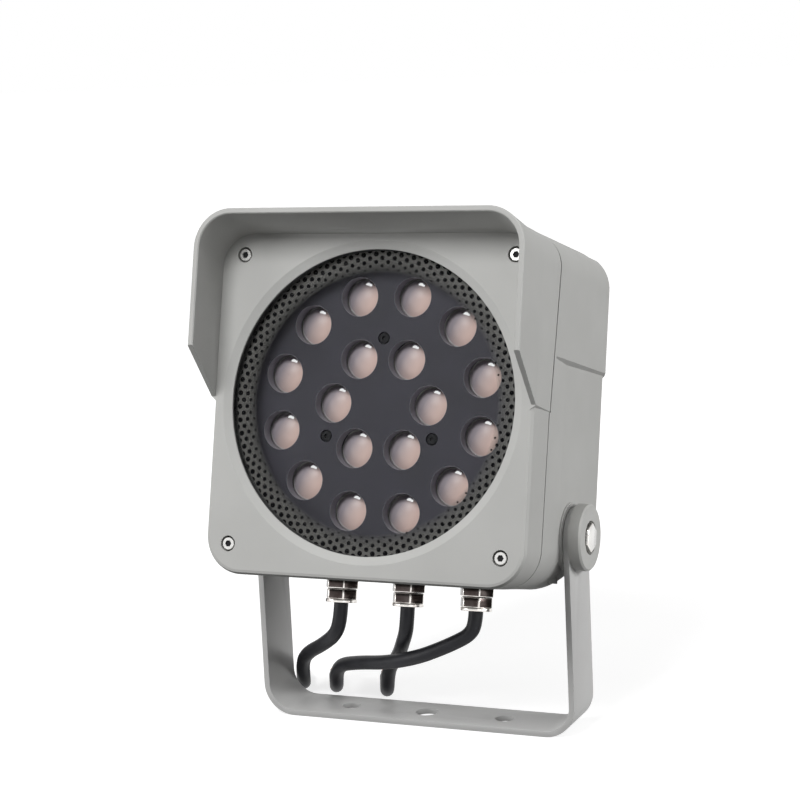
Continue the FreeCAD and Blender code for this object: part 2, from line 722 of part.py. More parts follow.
def housing_gasket():
    """Rubber seal between frame and housing, set back from the surface."""
    low, high = head_low + S.seal_inset, head_high - S.seal_inset
    radius = S.corner_radius - S.seal_inset
    whole = loft("SealBlock", [
        section("SealFront", face, head_half - S.seal_inset, low, high, radius),
        section("SealBack", waist, waist_half - S.seal_inset, low, high, radius),
    ])
    ring = cut("SealRing", whole, cavity("SealCavity"))
    ahead, behind = seal_places(-S.seal_thickness / 2), seal_places(S.seal_thickness / 2)
    profile = sketch("SealSide", "side", 0)
    draw_polygon(profile, [*ahead, *reversed(behind)])
    slab = extrusion("SealSpace", profile, Vector(1, 0, 0), rim_half * 3, True)
    holes = [rod(f"SealHole{k}", S.corner_screw_dia + 0.6, beyond * 2, (x, face, z), TURN_TO_Y)
             for k, (x, z) in enumerate(corner_places)]
    flat = shared("SealSlab", [ring, slab])
    node("housing_gasket", cut("HousingGasket", flat, joined("SealHoles", holes)), HEAD)


# Front glass and what holds it

def glass_parts():
    glass = new_body("Glass")
    outline = body_sketch(glass, "GlassOutline", "XZ_Plane")
    edge = 0.8
    radius = glass_dia / 2
    draw_polygon(outline, [(0, 0), (radius - edge, 0), (radius, edge), (radius, S.glass_thickness - edge),
                           (radius - edge, S.glass_thickness), (0, S.glass_thickness)])
    revolution(glass, "GlassTurn", outline)
    node("glass", glass, head_place(0, glass_front, S.optic_height, TURN_TO_Y))

    inner = radius - S.seal_cover
    outer = seat_dia / 2
    thick = S.glass_thickness + S.glass_seal * 2
    seal = S.glass_seal
    turned("glass_gasket", [(inner, 0), (outer, 0), (outer, thick), (inner, thick), (inner, thick - seal),
                            (radius, thick - seal), (radius, seal), (inner, seal)],
           head_place(0, glass_front - seal, S.optic_height, TURN_TO_Y))

    ring = new_body("GlassRing")
    rim_sketch = body_sketch(ring, "RingOutline", "XY_Plane")
    draw_circle(rim_sketch, (0, 0), seat_dia + 2)
    pad(ring, "RingPad", rim_sketch, S.clamp_thickness)
    ears = body_sketch(ring, "RingEars", "XY_Plane")
    reach = clamp_circle / 2 * diagonal
    for i in (-1, 1):
        for k in (-1, 1):
            draw_circle(ears, (reach * i, reach * k), S.clamp_ear * 2)
    pad(ring, "RingEarPad", ears, S.clamp_thickness)
    holes = body_sketch(ring, "RingHoles", "XY_Plane", S.clamp_thickness)
    draw_circle(holes, (0, 0), glass_dia - S.clamp_cover * 2)
    for i in (-1, 1):
        for k in (-1, 1):
            draw_circle(holes, (reach * i, reach * k), S.small_screw_dia + 0.6)
    pocket(ring, "RingPocket", holes)
    node("glass_ring", ring, head_place(0, clamp_front, S.optic_height, TURN_TO_Y))


# Lens plate, lenses and led board

def lens_plate():
    """Dark moulded plate with a deep round well in front of each lens."""
    plate = new_body("LensPlate")
    disc = body_sketch(plate, "PlateDisc", "XY_Plane")
    draw_circle(disc, (0, 0), plate_dia)
    pad(plate, "PlatePad", disc, S.plate_thickness)
    skirt = body_sketch(plate, "PlateSkirt", "XY_Plane")
    draw_circle(skirt, (0, 0), plate_dia)
    draw_circle(skirt, (0, 0), plate_dia - S.well_wall * 2)
    pad(plate, "SkirtPad", skirt, S.plate_skirt)
    local = [(x, S.optic_height - z) for x, z in lens_places]
    tubes = body_sketch(plate, "WellTubes", "XY_Plane")
    for place in local:
        draw_circle(tubes, place, well_dia + S.well_wall * 2)
    pad(plate, "TubePad", tubes, S.well_depth)
    posts = body_sketch(plate, "PlatePosts", "XY_Plane")
    screw_local = [(x, S.optic_height - z) for x, z in plate_screws]
    for place in screw_local:
        draw_circle(posts, place, S.plate_screw_recess + 3)
    pad(plate, "PostPad", posts, board_front - plate_front)
    wells = body_sketch(plate, "Wells", "XY_Plane")
    for place in local:
        draw_circle(wells, place, well_dia)
    pocket(plate, "WellPocket", wells, reverse=True)
    recesses = body_sketch(plate, "ScrewRecesses", "XY_Plane")
    for place in screw_local:
        draw_circle(recesses, place, S.plate_screw_recess)
    pocket(plate, "RecessPocket", recesses, reverse=True, length=S.small_head_height)
    holes = body_sketch(plate, "ScrewHoles", "XY_Plane")
    for place in screw_local:
        draw_circle(holes, place, S.small_screw_dia + 0.6)
    pocket(plate, "HolePocket", holes, reverse=True)
    node("lens_plate", plate, head_place(0, plate_front, S.optic_height, TURN_TO_Y))


def lenses():
    """Eighteen collimator lenses: a bulged front, a rim and a cone down to a foot over the led."""
    radius = S.lens_dia / 2
    foot = S.lens_foot_dia / 2
    hollow = S.led_pocket / 2
    shoulder = S.lens_height - S.lens_crown
    sphere = (radius * radius + S.lens_crown * S.lens_crown) / (S.lens_crown * 2)
    for number, (x, z) in enumerate(lens_places, start=1):
        lens = new_body(f"Lens{number:02d}")
        outline = body_sketch(lens, f"LensOutline{number:02d}", "XZ_Plane")
        draw_polygon(outline, [(0, hollow), (hollow, 0), (foot, 0), (radius, shoulder - S.lens_edge),
                               (radius, shoulder), (0, S.lens_height)],
                     {4: ((0, S.lens_height - sphere), sphere, True)})
        revolution(lens, f"LensTurn{number:02d}", outline)
        node(f"lens_{number:02d}", lens, head_place(x, board_front, z, Rotation(Vector(1, 0, 0), 90)))


def led_board():
    """Round board with the eighteen leds soldered on it."""
    board = new_body("LedBoard")
    disc = body_sketch(board, "BoardDisc", "XY_Plane")
    draw_circle(disc, (0, 0), plate_dia - S.board_margin * 2)
    for x, z in plate_screws:
        draw_circle(disc, (x, S.optic_height - z), S.small_screw_dia + 0.6)
    pad(board, "BoardPad", disc, S.board_thickness)
    leds = body_sketch(board, "Leds", "XY_Plane")
    for x, z in lens_places:
        draw_circle(leds, (x, S.optic_height - z), S.led_dia)
    pad(board, "LedPad", leds, S.led_height, reverse=True)
    node("led_board", board, head_place(0, board_front, S.optic_height, TURN_TO_Y))


def board_carrier():
    """Aluminium plate that spreads the leds' heat to the housing's posts."""
    carrier = new_body("BoardCarrier")
    disc = body_sketch(carrier, "CarrierDisc", "XY_Plane")
    draw_circle(disc, (0, 0), carrier_dia)
    for x, z in carrier_screws:
        draw_circle(disc, (x, S.optic_height - z), S.small_screw_dia + 0.6)
    for x, z in plate_screws:
        draw_circle(disc, (x, S.optic_height - z), S.small_screw_dia)
    pad(carrier, "CarrierPad", disc, S.carrier_thickness)
    node("board_carrier", carrier, head_place(0, board_back, S.optic_height, TURN_TO_Y))


# Screws

def screw(name, head_dia, head_height, shank_dia, shank_length, place, rotation, socket=0):
    """A screw with its head's underside at a place, pointing along Z turned by a rotation."""
    body = new_body(name)
    outline = body_sketch(body, f"{name}Outline", "XZ_Plane")
    edge = 0.4
    draw_polygon(outline, [(0, -head_height), (head_dia / 2 - edge, -head_height),
                           (head_dia / 2, -head_height + edge), (head_dia / 2, 0), (shank_dia / 2, 0),
                           (shank_dia / 2, shank_length - edge), (shank_dia / 2 - edge, shank_length),
                           (0, shank_length)])
    revolution(body, f"{name}Turn", outline)
    if socket:
        hexagon = body_sketch(body, f"{name}Socket", "XY_Plane", -head_height)
        draw_hexagon(hexagon, (0, 0), socket)
        pocket(body, f"{name}SocketPocket", hexagon, reverse=True, length=head_height * 0.55)
    body.Placement = Placement(Vector(*(as_size(v).value for v in place)), rotation)
    return body


def group(name, pieces, placement=HEAD):
    result = doc.addObject("Part::Compound", name.title().replace("_", ""))
    result.Links = pieces
    node(name, result, placement)


def head_screws():
    seat = face + S.corner_bore_depth
    group("corner_screws", [
        screw(f"CornerScrew{k}", S.corner_head_dia, S.corner_head_height, S.corner_screw_dia,
              S.corner_screw_length, (x, seat, z), TURN_TO_Y, socket=4)
        for k, (x, z) in enumerate(corner_places)])
    backward = Rotation(Vector(1, 0, 0), 90)
    group("glass_ring_screws", [
        screw(f"ClampScrew{k}", S.small_head_dia, S.small_head_height, S.small_screw_dia,
              S.clamp_thickness + clamp_grip, (x, clamp_back, z), backward, socket=2.5)
        for k, (x, z) in enumerate(clamp_screws)])
    under_head = plate_front + S.small_head_height
    group("plate_screws", [
        screw(f"PlateScrew{k}", S.small_head_dia, S.small_head_height, S.small_screw_dia,
              carrier_back - 1 - under_head, (x, under_head, z), TURN_TO_Y, socket=2.5)
        for k, (x, z) in enumerate(plate_screws)])
    group("carrier_screws", [
        screw(f"CarrierScrew{k}", S.small_head_dia, S.small_head_height, S.small_screw_dia,
              S.carrier_thickness + S.small_screw_grip, (x, board_back, z), TURN_TO_Y, socket=2.5)
        for k, (x, z) in enumerate(carrier_screws)])


# Driver and terminal block

def driver():
    """Potted led driver on the back wall, with an ear at each end."""
    half, width = S.driver_length / 2, S.driver_width
    case = new_body("Driver")
    outline = body_sketch(case, "DriverOutline", "XY_Plane")
    draw_rounded_rectangle(outline, half, -width / 2, width / 2, 6)
    pad(case, "DriverPad", outline, S.driver_thickness)
    ears = body_sketch(case, "DriverEars", "XY_Plane")
    draw_rounded_rectangle(ears, half + S.driver_ear, -width / 4, width / 4, 4)
    pad(case, "DriverEarPad", ears, 3)
    holes = body_sketch(case, "DriverHoles", "XY_Plane")
    across = half + S.driver_ear / 2
    for side in (-1, 1):
        draw_circle(holes, (across * side, 0), S.small_screw_dia)
    pocket(case, "DriverHolePocket", holes, reverse=True)
    node("driver", case, head_place(0, back_inner, S.driver_height, Rotation(Vector(1, 0, 0), 90)))
    group("driver_screws", [
        screw(f"DriverScrew{side + 1}", S.small_head_dia, S.small_head_height, S.small_screw_dia, 3,
              (across * side, back_inner - 3, S.driver_height), TURN_TO_Y, socket=2.5)
        for side in (-1, 1)])


def terminal_block():
    """Block of three clamps for the three cables."""
    block_body = new_body("TerminalBlock")
    outline = body_sketch(block_body, "TerminalOutline", "XY_Plane")
    half, width = S.terminal_length / 2, S.terminal_width
    draw_rounded_rectangle(outline, half, -width / 2, width / 2, 2)
    pad(block_body, "TerminalPad", outline, S.terminal_thickness)
    wires = body_sketch(block_body, "WireHoles", "XZ_Plane")
    pitch = S.terminal_length / 9
    for k in range(9):
        draw_circle(wires, (pitch * (k - 4), S.terminal_thickness / 2), 4)
    pocket(block_body, "WirePocket", wires, both_ways=True)
    place = head_place(0, back_inner, S.terminal_height, Rotation(Vector(1, 0, 0), 90))
    node("terminal_block", block_body, place)


# Cable glands

def glands():
    """Plated brass cable glands under the housing, with their inner nuts."""
    names = {-1: "left", 0: "middle", 1: "right"}
    nuts = []
    bore = S.gland_bore_dia
    total = S.gland_body_height + S.gland_nut_height + S.gland_dome_height
    for k, side in names.items():
        place = head_place(S.gland_pitch * k, -S.gland_depth, head_low, Rotation(Vector(1, 0, 0), 180))
        body = new_body(f"GlandBody{side.title()}")
        flange = body_sketch(body, f"{body.Name}Hex", "XY_Plane")
        draw_hexagon(flange, (0, 0), S.gland_hex)
        pad(body, f"{body.Name}HexPad", flange, S.gland_body_height)
        thread = body_sketch(body, f"{body.Name}Thread", "XY_Plane")
        draw_circle(thread, (0, 0), S.gland_thread_dia)
        pad(body, f"{body.Name}ThreadPad", thread, S.gland_thread_length, reverse=True)
        hole = body_sketch(body, f"{body.Name}Bore", "XY_Plane", S.gland_body_height)
        draw_circle(hole, (0, 0), bore)
        pocket(body, f"{body.Name}BorePocket", hole)
        node(f"gland_body_{side}", body, place)

        nut = new_body(f"GlandNut{side.title()}")
        hexagon = body_sketch(nut, f"{nut.Name}Hex", "XY_Plane", S.gland_body_height)
        draw_hexagon(hexagon, (0, 0), S.gland_nut_hex)
        pad(nut, f"{nut.Name}HexPad", hexagon, S.gland_nut_height)
        dome = body_sketch(nut, f"{nut.Name}Dome", "XZ_Plane")
        start = S.gland_body_height + S.gland_nut_height
        draw_polygon(dome, [(0, start), (S.gland_nut_hex / 2, start), (S.gland_nut_hex / 2 - 0.8, start + 1.4),
                            (S.gland_dome_dia / 2, total), (0, total)])
        revolution(nut, f"{nut.Name}DomeTurn", dome)
        nut_hole = body_sketch(nut, f"{nut.Name}Bore", "XY_Plane", total)
        draw_circle(nut_hole, (0, 0), bore)
        pocket(nut, f"{nut.Name}BorePocket", nut_hole)
        node(f"gland_nut_{side}", nut, place)

        turned(f"gland_seal_{side}", [(S.cord_hold_dia / 2, 0), (bore / 2, 0), (bore / 2, total),
                                      (S.cord_hold_dia / 2, total)], place)

        inner = new_body(f"Locknut{k + 1}")
        ring = body_sketch(inner, f"LocknutHex{k + 1}", "XY_Plane")
        draw_hexagon(ring, (0, 0), S.locknut_hex)
        draw_circle(ring, (0, 0), S.gland_thread_dia)
        pad(inner, f"LocknutPad{k + 1}", ring, S.locknut_height)
        inner.Placement = Placement(Vector(S.gland_pitch.value * k, -S.gland_depth.value, cavity_low.value),
                                    Rotation())
        nuts.append(inner)
    group("gland_locknuts", nuts)


# Bracket and pivots

def bracket():
    """U bracket, bent from one strip, with round ends."""
    body = new_body("Bracket")
    half = arm_inside
    thick = S.strip_thickness
    top = S.pivot_height + S.strip_width / 2
    outline = body_sketch(body, "StripOutline", "XZ_Plane")
    draw_polygon(outline, [(-half - thick, 0), (half + thick, 0), (half + thick, top), (half, top), (half, thick),
                           (-half, thick), (-half, top), (-half - thick, top)])
    strip = pad(body, "StripPad", outline, S.strip_width, both_ways=True)
    doc.recompute()
    outer_radius = S.bend_radius + thick
    bends = body.newObject("PartDesign::Fillet", "InnerBends")
    bends.Base = (strip, edges_along_y(strip, half.value, thick.value))
    bind(bends, Radius=S.bend_radius)
    doc.recompute()
    outer = body.newObject("PartDesign::Fillet", "OuterBends")
    outer.Base = (bends, edges_along_y(bends, (half + thick).value, 0))
    bind(outer, Radius=outer_radius)
    doc.recompute()
    round_ends = body_sketch(body, "RoundEnds", "YZ_Plane")
    side = S.strip_width / 2
    over = side + 1
    axis = S.pivot_height
    quarter = ((0, axis), side, True)
    draw_polygon(round_ends, [(side, axis), (0, top), (-side, axis), (-over, axis), (-over, top + 1),
                              (over, top + 1), (over, axis)], {0: quarter, 1: quarter})
    pocket(body, "RoundEndPocket", round_ends, both_ways=True)
    holes = body_sketch(body, "BaseHoles", "XY_Plane")
    draw_circle(holes, (0, 0), S.centre_hole_dia)
    for k in (-1, 1):
        draw_circle(holes, (S.base_hole_pitch / 2 * k, 0), S.base_hole_dia)
    pocket(body, "BaseHolePocket", holes, reverse=True, length=thick)
    pivots = body_sketch(body, "PivotHoles", "YZ_Plane")
    draw_circle(pivots, (0, S.pivot_height), S.pivot_bolt_dia + S.pivot_clearance * 2)
    pocket(body, "PivotHolePocket", pivots, both_ways=True)
    node("bracket", body)


def edges_along_y(feature, across, up):
    """Names of the edges that run along Y at a place seen from the front, on both sides."""
    names = []
    for k, edge in enumerate(feature.Shape.Edges, start=1):
        box = edge.BoundBox
        level = abs(box.ZMin - up) < 0.01 and abs(box.ZMax - up) < 0.01
        beside = abs(abs(box.XMin) - across) < 0.01 and abs(box.XMax - box.XMin) < 0.01
        if level and beside:
            names.append(f"Edge{k}")
    return names


def pivots():
    """On each side a friction washer, a disc with a recess, and a hexagon bolt through both."""
    bolt_hole = S.pivot_bolt_dia
    washer_start = waist_half + S.boss_rise
    disc_start = arm_inside + S.strip_thickness + S.running_gap
    washer = S.washer_thickness
    bolts = []
    for side, sign in (("right", 1), ("left", -1)):
        outward = Rotation(Vector(0, 1, 0), 90 * sign)
        turned(f"friction_washer_{side}", [(bolt_hole / 2, 0), (S.boss_dia / 2 - 1, 0), (S.boss_dia / 2 - 1, washer),
                                           (bolt_hole / 2, washer)],
               head_place(washer_start * sign, 0, 0, outward))
        radius, edge = S.disc_dia / 2, 1.2
        floor = S.disc_thickness - S.disc_recess_depth
        recess = S.disc_recess_dia / 2
        turned(f"pivot_disc_{side}", [(bolt_hole / 2, 0), (radius, 0), (radius, S.disc_thickness - edge),
                                      (radius - edge, S.disc_thickness), (recess, S.disc_thickness),
                                      (recess, floor), (bolt_hole / 2, floor)],
               head_place(disc_start * sign, 0, 0, outward))
        bolt = new_body(f"PivotBolt{side.title()}")
        head = body_sketch(bolt, f"{bolt.Name}Head", "XY_Plane")
        draw_hexagon(head, (0, 0), S.pivot_head_flats)
        pad(bolt, f"{bolt.Name}HeadPad", head, S.pivot_head_height)
        shank = body_sketch(bolt, f"{bolt.Name}Shank", "XY_Plane")
        draw_circle(shank, (0, 0), S.pivot_bolt_dia)
        length = disc_start + floor - waist_half + S.wall + S.pivot_thread - 4
        pad(bolt, f"{bolt.Name}ShankPad", shank, length, reverse=True)
        bolt.Placement = Placement(Vector((disc_start + floor).value * sign, 0, 0), outward)
        bolts.append(bolt)
    group("pivot_bolts", bolts)


# Cables

def rounded_route(points):
    """Straight runs joined by tangent arcs, each as large as its two runs allow."""
    edges, radii, start = [], [], points[0]
    for before, corner, after in zip(points, points[1:], points[2:]):
        incoming, outgoing = corner - before, after - corner
        half_turn = incoming.getAngle(outgoing) / 2
        trim = 0.45 * min(incoming.Length, outgoing.Length)
        incoming.normalize()
        outgoing.normalize()
        first, last = corner - incoming * trim, corner + outgoing * trim
        radius = trim / math.tan(half_turn)
        bisector = outgoing - incoming
        bisector.normalize()
        centre = corner + bisector * (radius / math.cos(half_turn))
        middle = centre - bisector * radius
        edges.append(Part.LineSegment(start, first).toShape())
        edges.append(Part.Arc(first, middle, last).toShape())
        radii.append(radius)
        start = last
    edges.append(Part.LineSegment(start, points[-1]).toShape())
    return Part.Wire(edges), radii


def gland_exit(k):
    """Where a cable leaves its gland, and the way it points there."""
    total = S.gland_body_height + S.gland_nut_height + S.gland_dome_height
    end = HEAD * Vector(S.gland_pitch.value * k, -S.gland_depth.value, (head_low - total).value)
    down = HEAD.Rotation * Vector(0, 0, -1)
    return end, down


# Each cable comes straight out of its gland for a little, then falls behind the bracket's base and lies on the
# ground behind it. The places are chosen by eye.
CORD_ROUTES = {
    "left": (-1, 12, [(-55, -26, 63.5), (-71.5, -13, 51.5), (-92, 5, 39.5), (-104, 18, 28), (-110, 31, 5.2),
                      (-122.5, 56, 5.2), (-133.2, 77.5, 5.2)]),
    "middle": (0, 9, [(-1.5, -26.5, 69), (-7, -19.5, 60), (-15.5, -6, 49), (-25.5, 8.5, 38), (-36, 18, 27),
                      (-43, 29, 5.2), (-54.5, 54.5, 5.2), (-65.5, 79, 5.2)]),
    "right": (1, 9.5, [(46, -29, 70.5), (37, -30, 65.5), (25.5, -30.5, 60), (8, -29.5, 52.5), (-18.5, -22, 44.5),
                       (-50.5, -3, 37), (-75, 15, 28), (-83, 29, 5.2), (-95.2, 54.2, 5.2), (-104.7, 74, 5.2)]),
}


def cords():
    radius = S.cord_dia.value / 2
    for side, (k, straight, places) in CORD_ROUTES.items():
        end, down = gland_exit(k)
        route = [end, end + down * straight] + [Vector(*place) for place in places]
        path, radii = rounded_route(route)
        circle = Part.Wire(Part.Circle(end, down, radius).toShape())
        tube = path.makePipeShell([circle], True, True)
        expected = math.pi * radius ** 2 * path.Length
        print(f"cord_{side}: {path.Length:.1f} mm, radii {[round(r) for r in radii]},",
              f"volume {tube.Volume / expected:.4f} of section times length")
        feature = doc.addObject("Part::Feature", f"Cord{side.title()}")
        feature.Shape = tube
        node(f"cord_{side}", feature)


def main():
    outside = back_profile(joined("HeadOutside", [lower_shell(), shoulders(), hood()]))
    front_frame(outside)
    rear_housing(outside)
    housing_gasket()
    glass_parts()
    lens_plate()
    lenses()
    led_board()
    board_carrier()
    head_screws()
    driver()
    terminal_block()
    glands()
    bracket()
    pivots()
    cords()
    doc.recompute()
    check_and_write()


def check_and_write():
    failed = [obj.Name for obj in doc.Objects if {"Invalid", "Error"} & set(obj.State)]
    for name, obj in nodes.items():
        shape = obj.Shape
        if shape.isNull() or not shape.isValid() or not shape.Solids:
            failed.append(name)
    if failed:
        raise RuntimeError("these objects failed: " + ", ".join(failed))
    for name, obj in sorted(nodes.items()):
        obj.Shape.exportStep(f"parts/{name}.step")
        box = obj.Shape.BoundBox
        print(f"{name}: {len(obj.Shape.Solids)} solids, {obj.Shape.Volume / 1000:.1f} cm3,",
              f"x {box.XMin:.1f} {box.XMax:.1f} y {box.YMin:.1f} {box.YMax:.1f} z {box.ZMin:.1f} {box.ZMax:.1f}")


main()
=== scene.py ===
# %% [markdown]
# # Led flood light
# The light is a square cast housing with a hood, hung between the two arms of a U bracket.
# The CAD model gives every hard part at its real size, so this script starts by loading it as a fixed frame.
# What is added here is what makes the light look real: paint, metal and glass, the printed edge of the glass,
# the moulded lenses, the turned and chamfered small parts, and the three cables.

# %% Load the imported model
import json
import math
import bpy
from mathutils import Matrix, Vector


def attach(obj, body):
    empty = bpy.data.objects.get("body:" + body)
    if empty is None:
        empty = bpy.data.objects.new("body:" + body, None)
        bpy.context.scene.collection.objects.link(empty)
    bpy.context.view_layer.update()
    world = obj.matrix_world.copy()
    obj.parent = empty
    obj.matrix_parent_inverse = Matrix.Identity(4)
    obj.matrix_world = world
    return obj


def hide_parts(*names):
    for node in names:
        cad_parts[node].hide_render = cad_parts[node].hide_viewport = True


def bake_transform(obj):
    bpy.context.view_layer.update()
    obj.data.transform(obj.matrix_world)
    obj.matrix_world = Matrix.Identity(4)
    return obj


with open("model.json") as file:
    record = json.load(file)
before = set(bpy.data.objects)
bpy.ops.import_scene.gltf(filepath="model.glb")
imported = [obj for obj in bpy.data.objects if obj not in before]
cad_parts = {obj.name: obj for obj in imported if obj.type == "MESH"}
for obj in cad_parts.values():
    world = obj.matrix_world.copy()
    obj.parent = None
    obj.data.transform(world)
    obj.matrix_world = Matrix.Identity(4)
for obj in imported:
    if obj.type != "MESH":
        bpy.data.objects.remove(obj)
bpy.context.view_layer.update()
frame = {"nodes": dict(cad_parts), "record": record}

print("CAD nodes:", len(frame["nodes"]))

# %% [markdown]
# ## Where things are
# The housing and all that is inside it were drawn upright, with the tilt axis as their own X axis.
# The light then leans back by a few degrees. The same placement as a matrix lets a new piece be modelled
# upright as well, and be leaned back at the very end.

# %% Placement of the head
MM = 0.001
PIVOT_HEIGHT = 135 * MM
LEAN = math.radians(-14.7)
OPTIC_HEIGHT = 80 * MM
HEAD = Matrix.Translation((0, 0, PIVOT_HEIGHT)) @ Matrix.Rotation(LEAN, 4, "X")

# %% [markdown]
# ## Camera
# The photograph was taken from the right of the lit face and a little above it, with a long lens.
# The place, the turn and the lens were solved from corners of the housing that are known in the CAD model.

# %% Camera
CAMERA_PLACE = (0.59874, -1.38715, 0.48255)
CAMERA_TURN = (80.3424, 2.6782, 23.2173)
CAMERA_LENS, CAMERA_SENSOR = 101.03, 36
camera_data = bpy.data.cameras.new("camera")
camera_data.sensor_width = CAMERA_SENSOR
camera_data.lens = CAMERA_LENS
camera = bpy.data.objects.new("camera", camera_data)
camera.location = CAMERA_PLACE
camera.rotation_euler = [math.radians(angle) for angle in CAMERA_TURN]
bpy.context.scene.collection.objects.link(camera)
bpy.context.scene.camera = camera
print("camera distance:", round(camera.location.length, 3))

# %% [markdown]
# ## Floor, backdrop and light
# A product photograph on white needs a floor that turns white but still takes a soft shadow. Turning the lamps up
# would bleach the paint too, so the whiteness is given only to what the camera sees, straight or in a mirror or
# through glass. For those rays the floor is pale and glows a little, more so far away, where the lamps get weak.
# For all other rays it is a dark matt floor, because the underside of the hood is nearly black in the photograph:
# little light came up from below. The world is plain white in the same way, and dimmer as a light.


# %% What sees the white background
def calculated(tree, operation, first, second):
    """A Math node that works on two outputs of other nodes."""
    node = tree.nodes.new("ShaderNodeMath")
    node.operation = operation
    tree.links.new(first, node.inputs[0])
    tree.links.new(second, node.inputs[1])
    return node.outputs[0]


def seen_rays(tree):
    """1 for rays from the camera, from mirrors and through glass, 0 for light itself."""
    rays = tree.nodes.new("ShaderNodeLightPath").outputs
    either = calculated(tree, "MAXIMUM", rays["Is Camera Ray"], rays["Is Glossy Ray"])
    return calculated(tree, "MAXIMUM", either, rays["Is Transmission Ray"])


# %% Finish of the floor
FLOOR_PALE, FLOOR_DARK = 0.5, 0.05
GLOW_NEAR, GLOW_FAR = 0.76, 1.0
FADE_START, FADE_END = 0.3, 1.0
floor_material = bpy.data.materials.new("floor")
floor_material.use_nodes = True
nodes, links = floor_material.node_tree.nodes, floor_material.node_tree.links
nodes.clear()
floor_out = nodes.new("ShaderNodeOutputMaterial")
floor_matt = nodes.new("ShaderNodeBsdfDiffuse")
floor_shade = nodes.new("ShaderNodeMapRange")
floor_shade.inputs["To Min"].default_value = FLOOR_DARK
floor_shade.inputs["To Max"].default_value = FLOOR_PALE
floor_place = nodes.new("ShaderNodeTexCoord")
floor_reach = nodes.new("ShaderNodeVectorMath")
floor_reach.operation = "LENGTH"
floor_fade = nodes.new("ShaderNodeMapRange")
floor_fade.inputs["From Min"].default_value = FADE_START
floor_fade.inputs["From Max"].default_value = FADE_END
floor_fade.inputs["To Min"].default_value = GLOW_NEAR
floor_fade.inputs["To Max"].default_value = GLOW_FAR
floor_glow = nodes.new("ShaderNodeEmission")
floor_sum = nodes.new("ShaderNodeAddShader")
floor_seen = seen_rays(floor_material.node_tree)
links.new(floor_seen, floor_shade.inputs["Value"])
links.new(floor_shade.outputs["Result"], floor_matt.inputs["Color"])
links.new(floor_place.outputs["Object"], floor_reach.inputs[0])
links.new(floor_reach.outputs["Value"], floor_fade.inputs["Value"])
floor_strength = calculated(floor_material.node_tree, "MULTIPLY", floor_seen, floor_fade.outputs["Result"])
links.new(floor_strength, floor_glow.inputs["Strength"])
links.new(floor_matt.outputs[0], floor_sum.inputs[0])
links.new(floor_glow.outputs[0], floor_sum.inputs[1])
links.new(floor_sum.outputs[0], floor_out.inputs["Surface"])
print("floor glows from", GLOW_NEAR, "to", GLOW_FAR)

# %% Floor
FLOOR_WIDTH = 30
FLOOR_GAP = 0.2 * MM
bpy.ops.object.select_all(action="DESELECT")
bpy.ops.mesh.primitive_plane_add(size=FLOOR_WIDTH, location=(0, 0, -FLOOR_GAP))
floor = bpy.context.object
floor.name = "floor"
floor.data.materials.append(floor_material)
print("floor at", round(floor.location.z, 4), "m")

# %% World
WORLD_LIGHT = 0.17
world = bpy.data.worlds.new("studio")
bpy.context.scene.world = world
world.use_nodes = True
nodes, links = world.node_tree.nodes, world.node_tree.links
nodes.clear()
world_out = nodes.new("ShaderNodeOutputWorld")
world_light = nodes.new("ShaderNodeBackground")
world_light.inputs["Color"].default_value = (1, 1, 1, 1)
world_light.inputs["Strength"].default_value = WORLD_LIGHT
world_white = nodes.new("ShaderNodeBackground")
world_white.inputs["Color"].default_value = (1, 1, 1, 1)
world_mix = nodes.new("ShaderNodeMixShader")
links.new(seen_rays(world.node_tree), world_mix.inputs["Fac"])
links.new(world_light.outputs[0], world_mix.inputs[1])
links.new(world_white.outputs[0], world_mix.inputs[2])
links.new(world_mix.outputs[0], world_out.inputs["Surface"])
print("world lights at", WORLD_LIGHT)

# %% [markdown]
# Four square softboxes light the object. The key lamp stands in front and high, where the glass doesn't mirror it
# into the camera. One lamp on the left and one on the right light the sides, and a weak one beside the camera fills
# the shade.

# %% Lamps
LAMP_AIM = (0, 0, 0.2)


def soft_lamp(name, place, size, power):
    """A square softbox that looks from its place at the middle of the object."""
    data = bpy.data.lights.new(name, "AREA")
    data.shape = "SQUARE"
    data.size = size
    data.energy = power
    lamp = bpy.data.objects.new(name, data)
    lamp.location = place
    lamp.rotation_euler = (Vector(LAMP_AIM) - Vector(place)).to_track_quat("-Z", "Y").to_euler()
    bpy.context.scene.collection.objects.link(lamp)


soft_lamp("key_lamp", place=(-0.25, -1.6, 1.7), size=0.8, power=39)
soft_lamp("left_lamp", place=(-1.75, -1.25, 0.6), size=0.9, power=11)
soft_lamp("fill_lamp", place=(1.3, -1.2, 0.5), size=0.9, power=2.5)
soft_lamp("right_lamp", place=(1.9, 0.2, 0.7), size=0.9, power=25)
bpy.context.scene.view_settings.view_transform = "Standard"
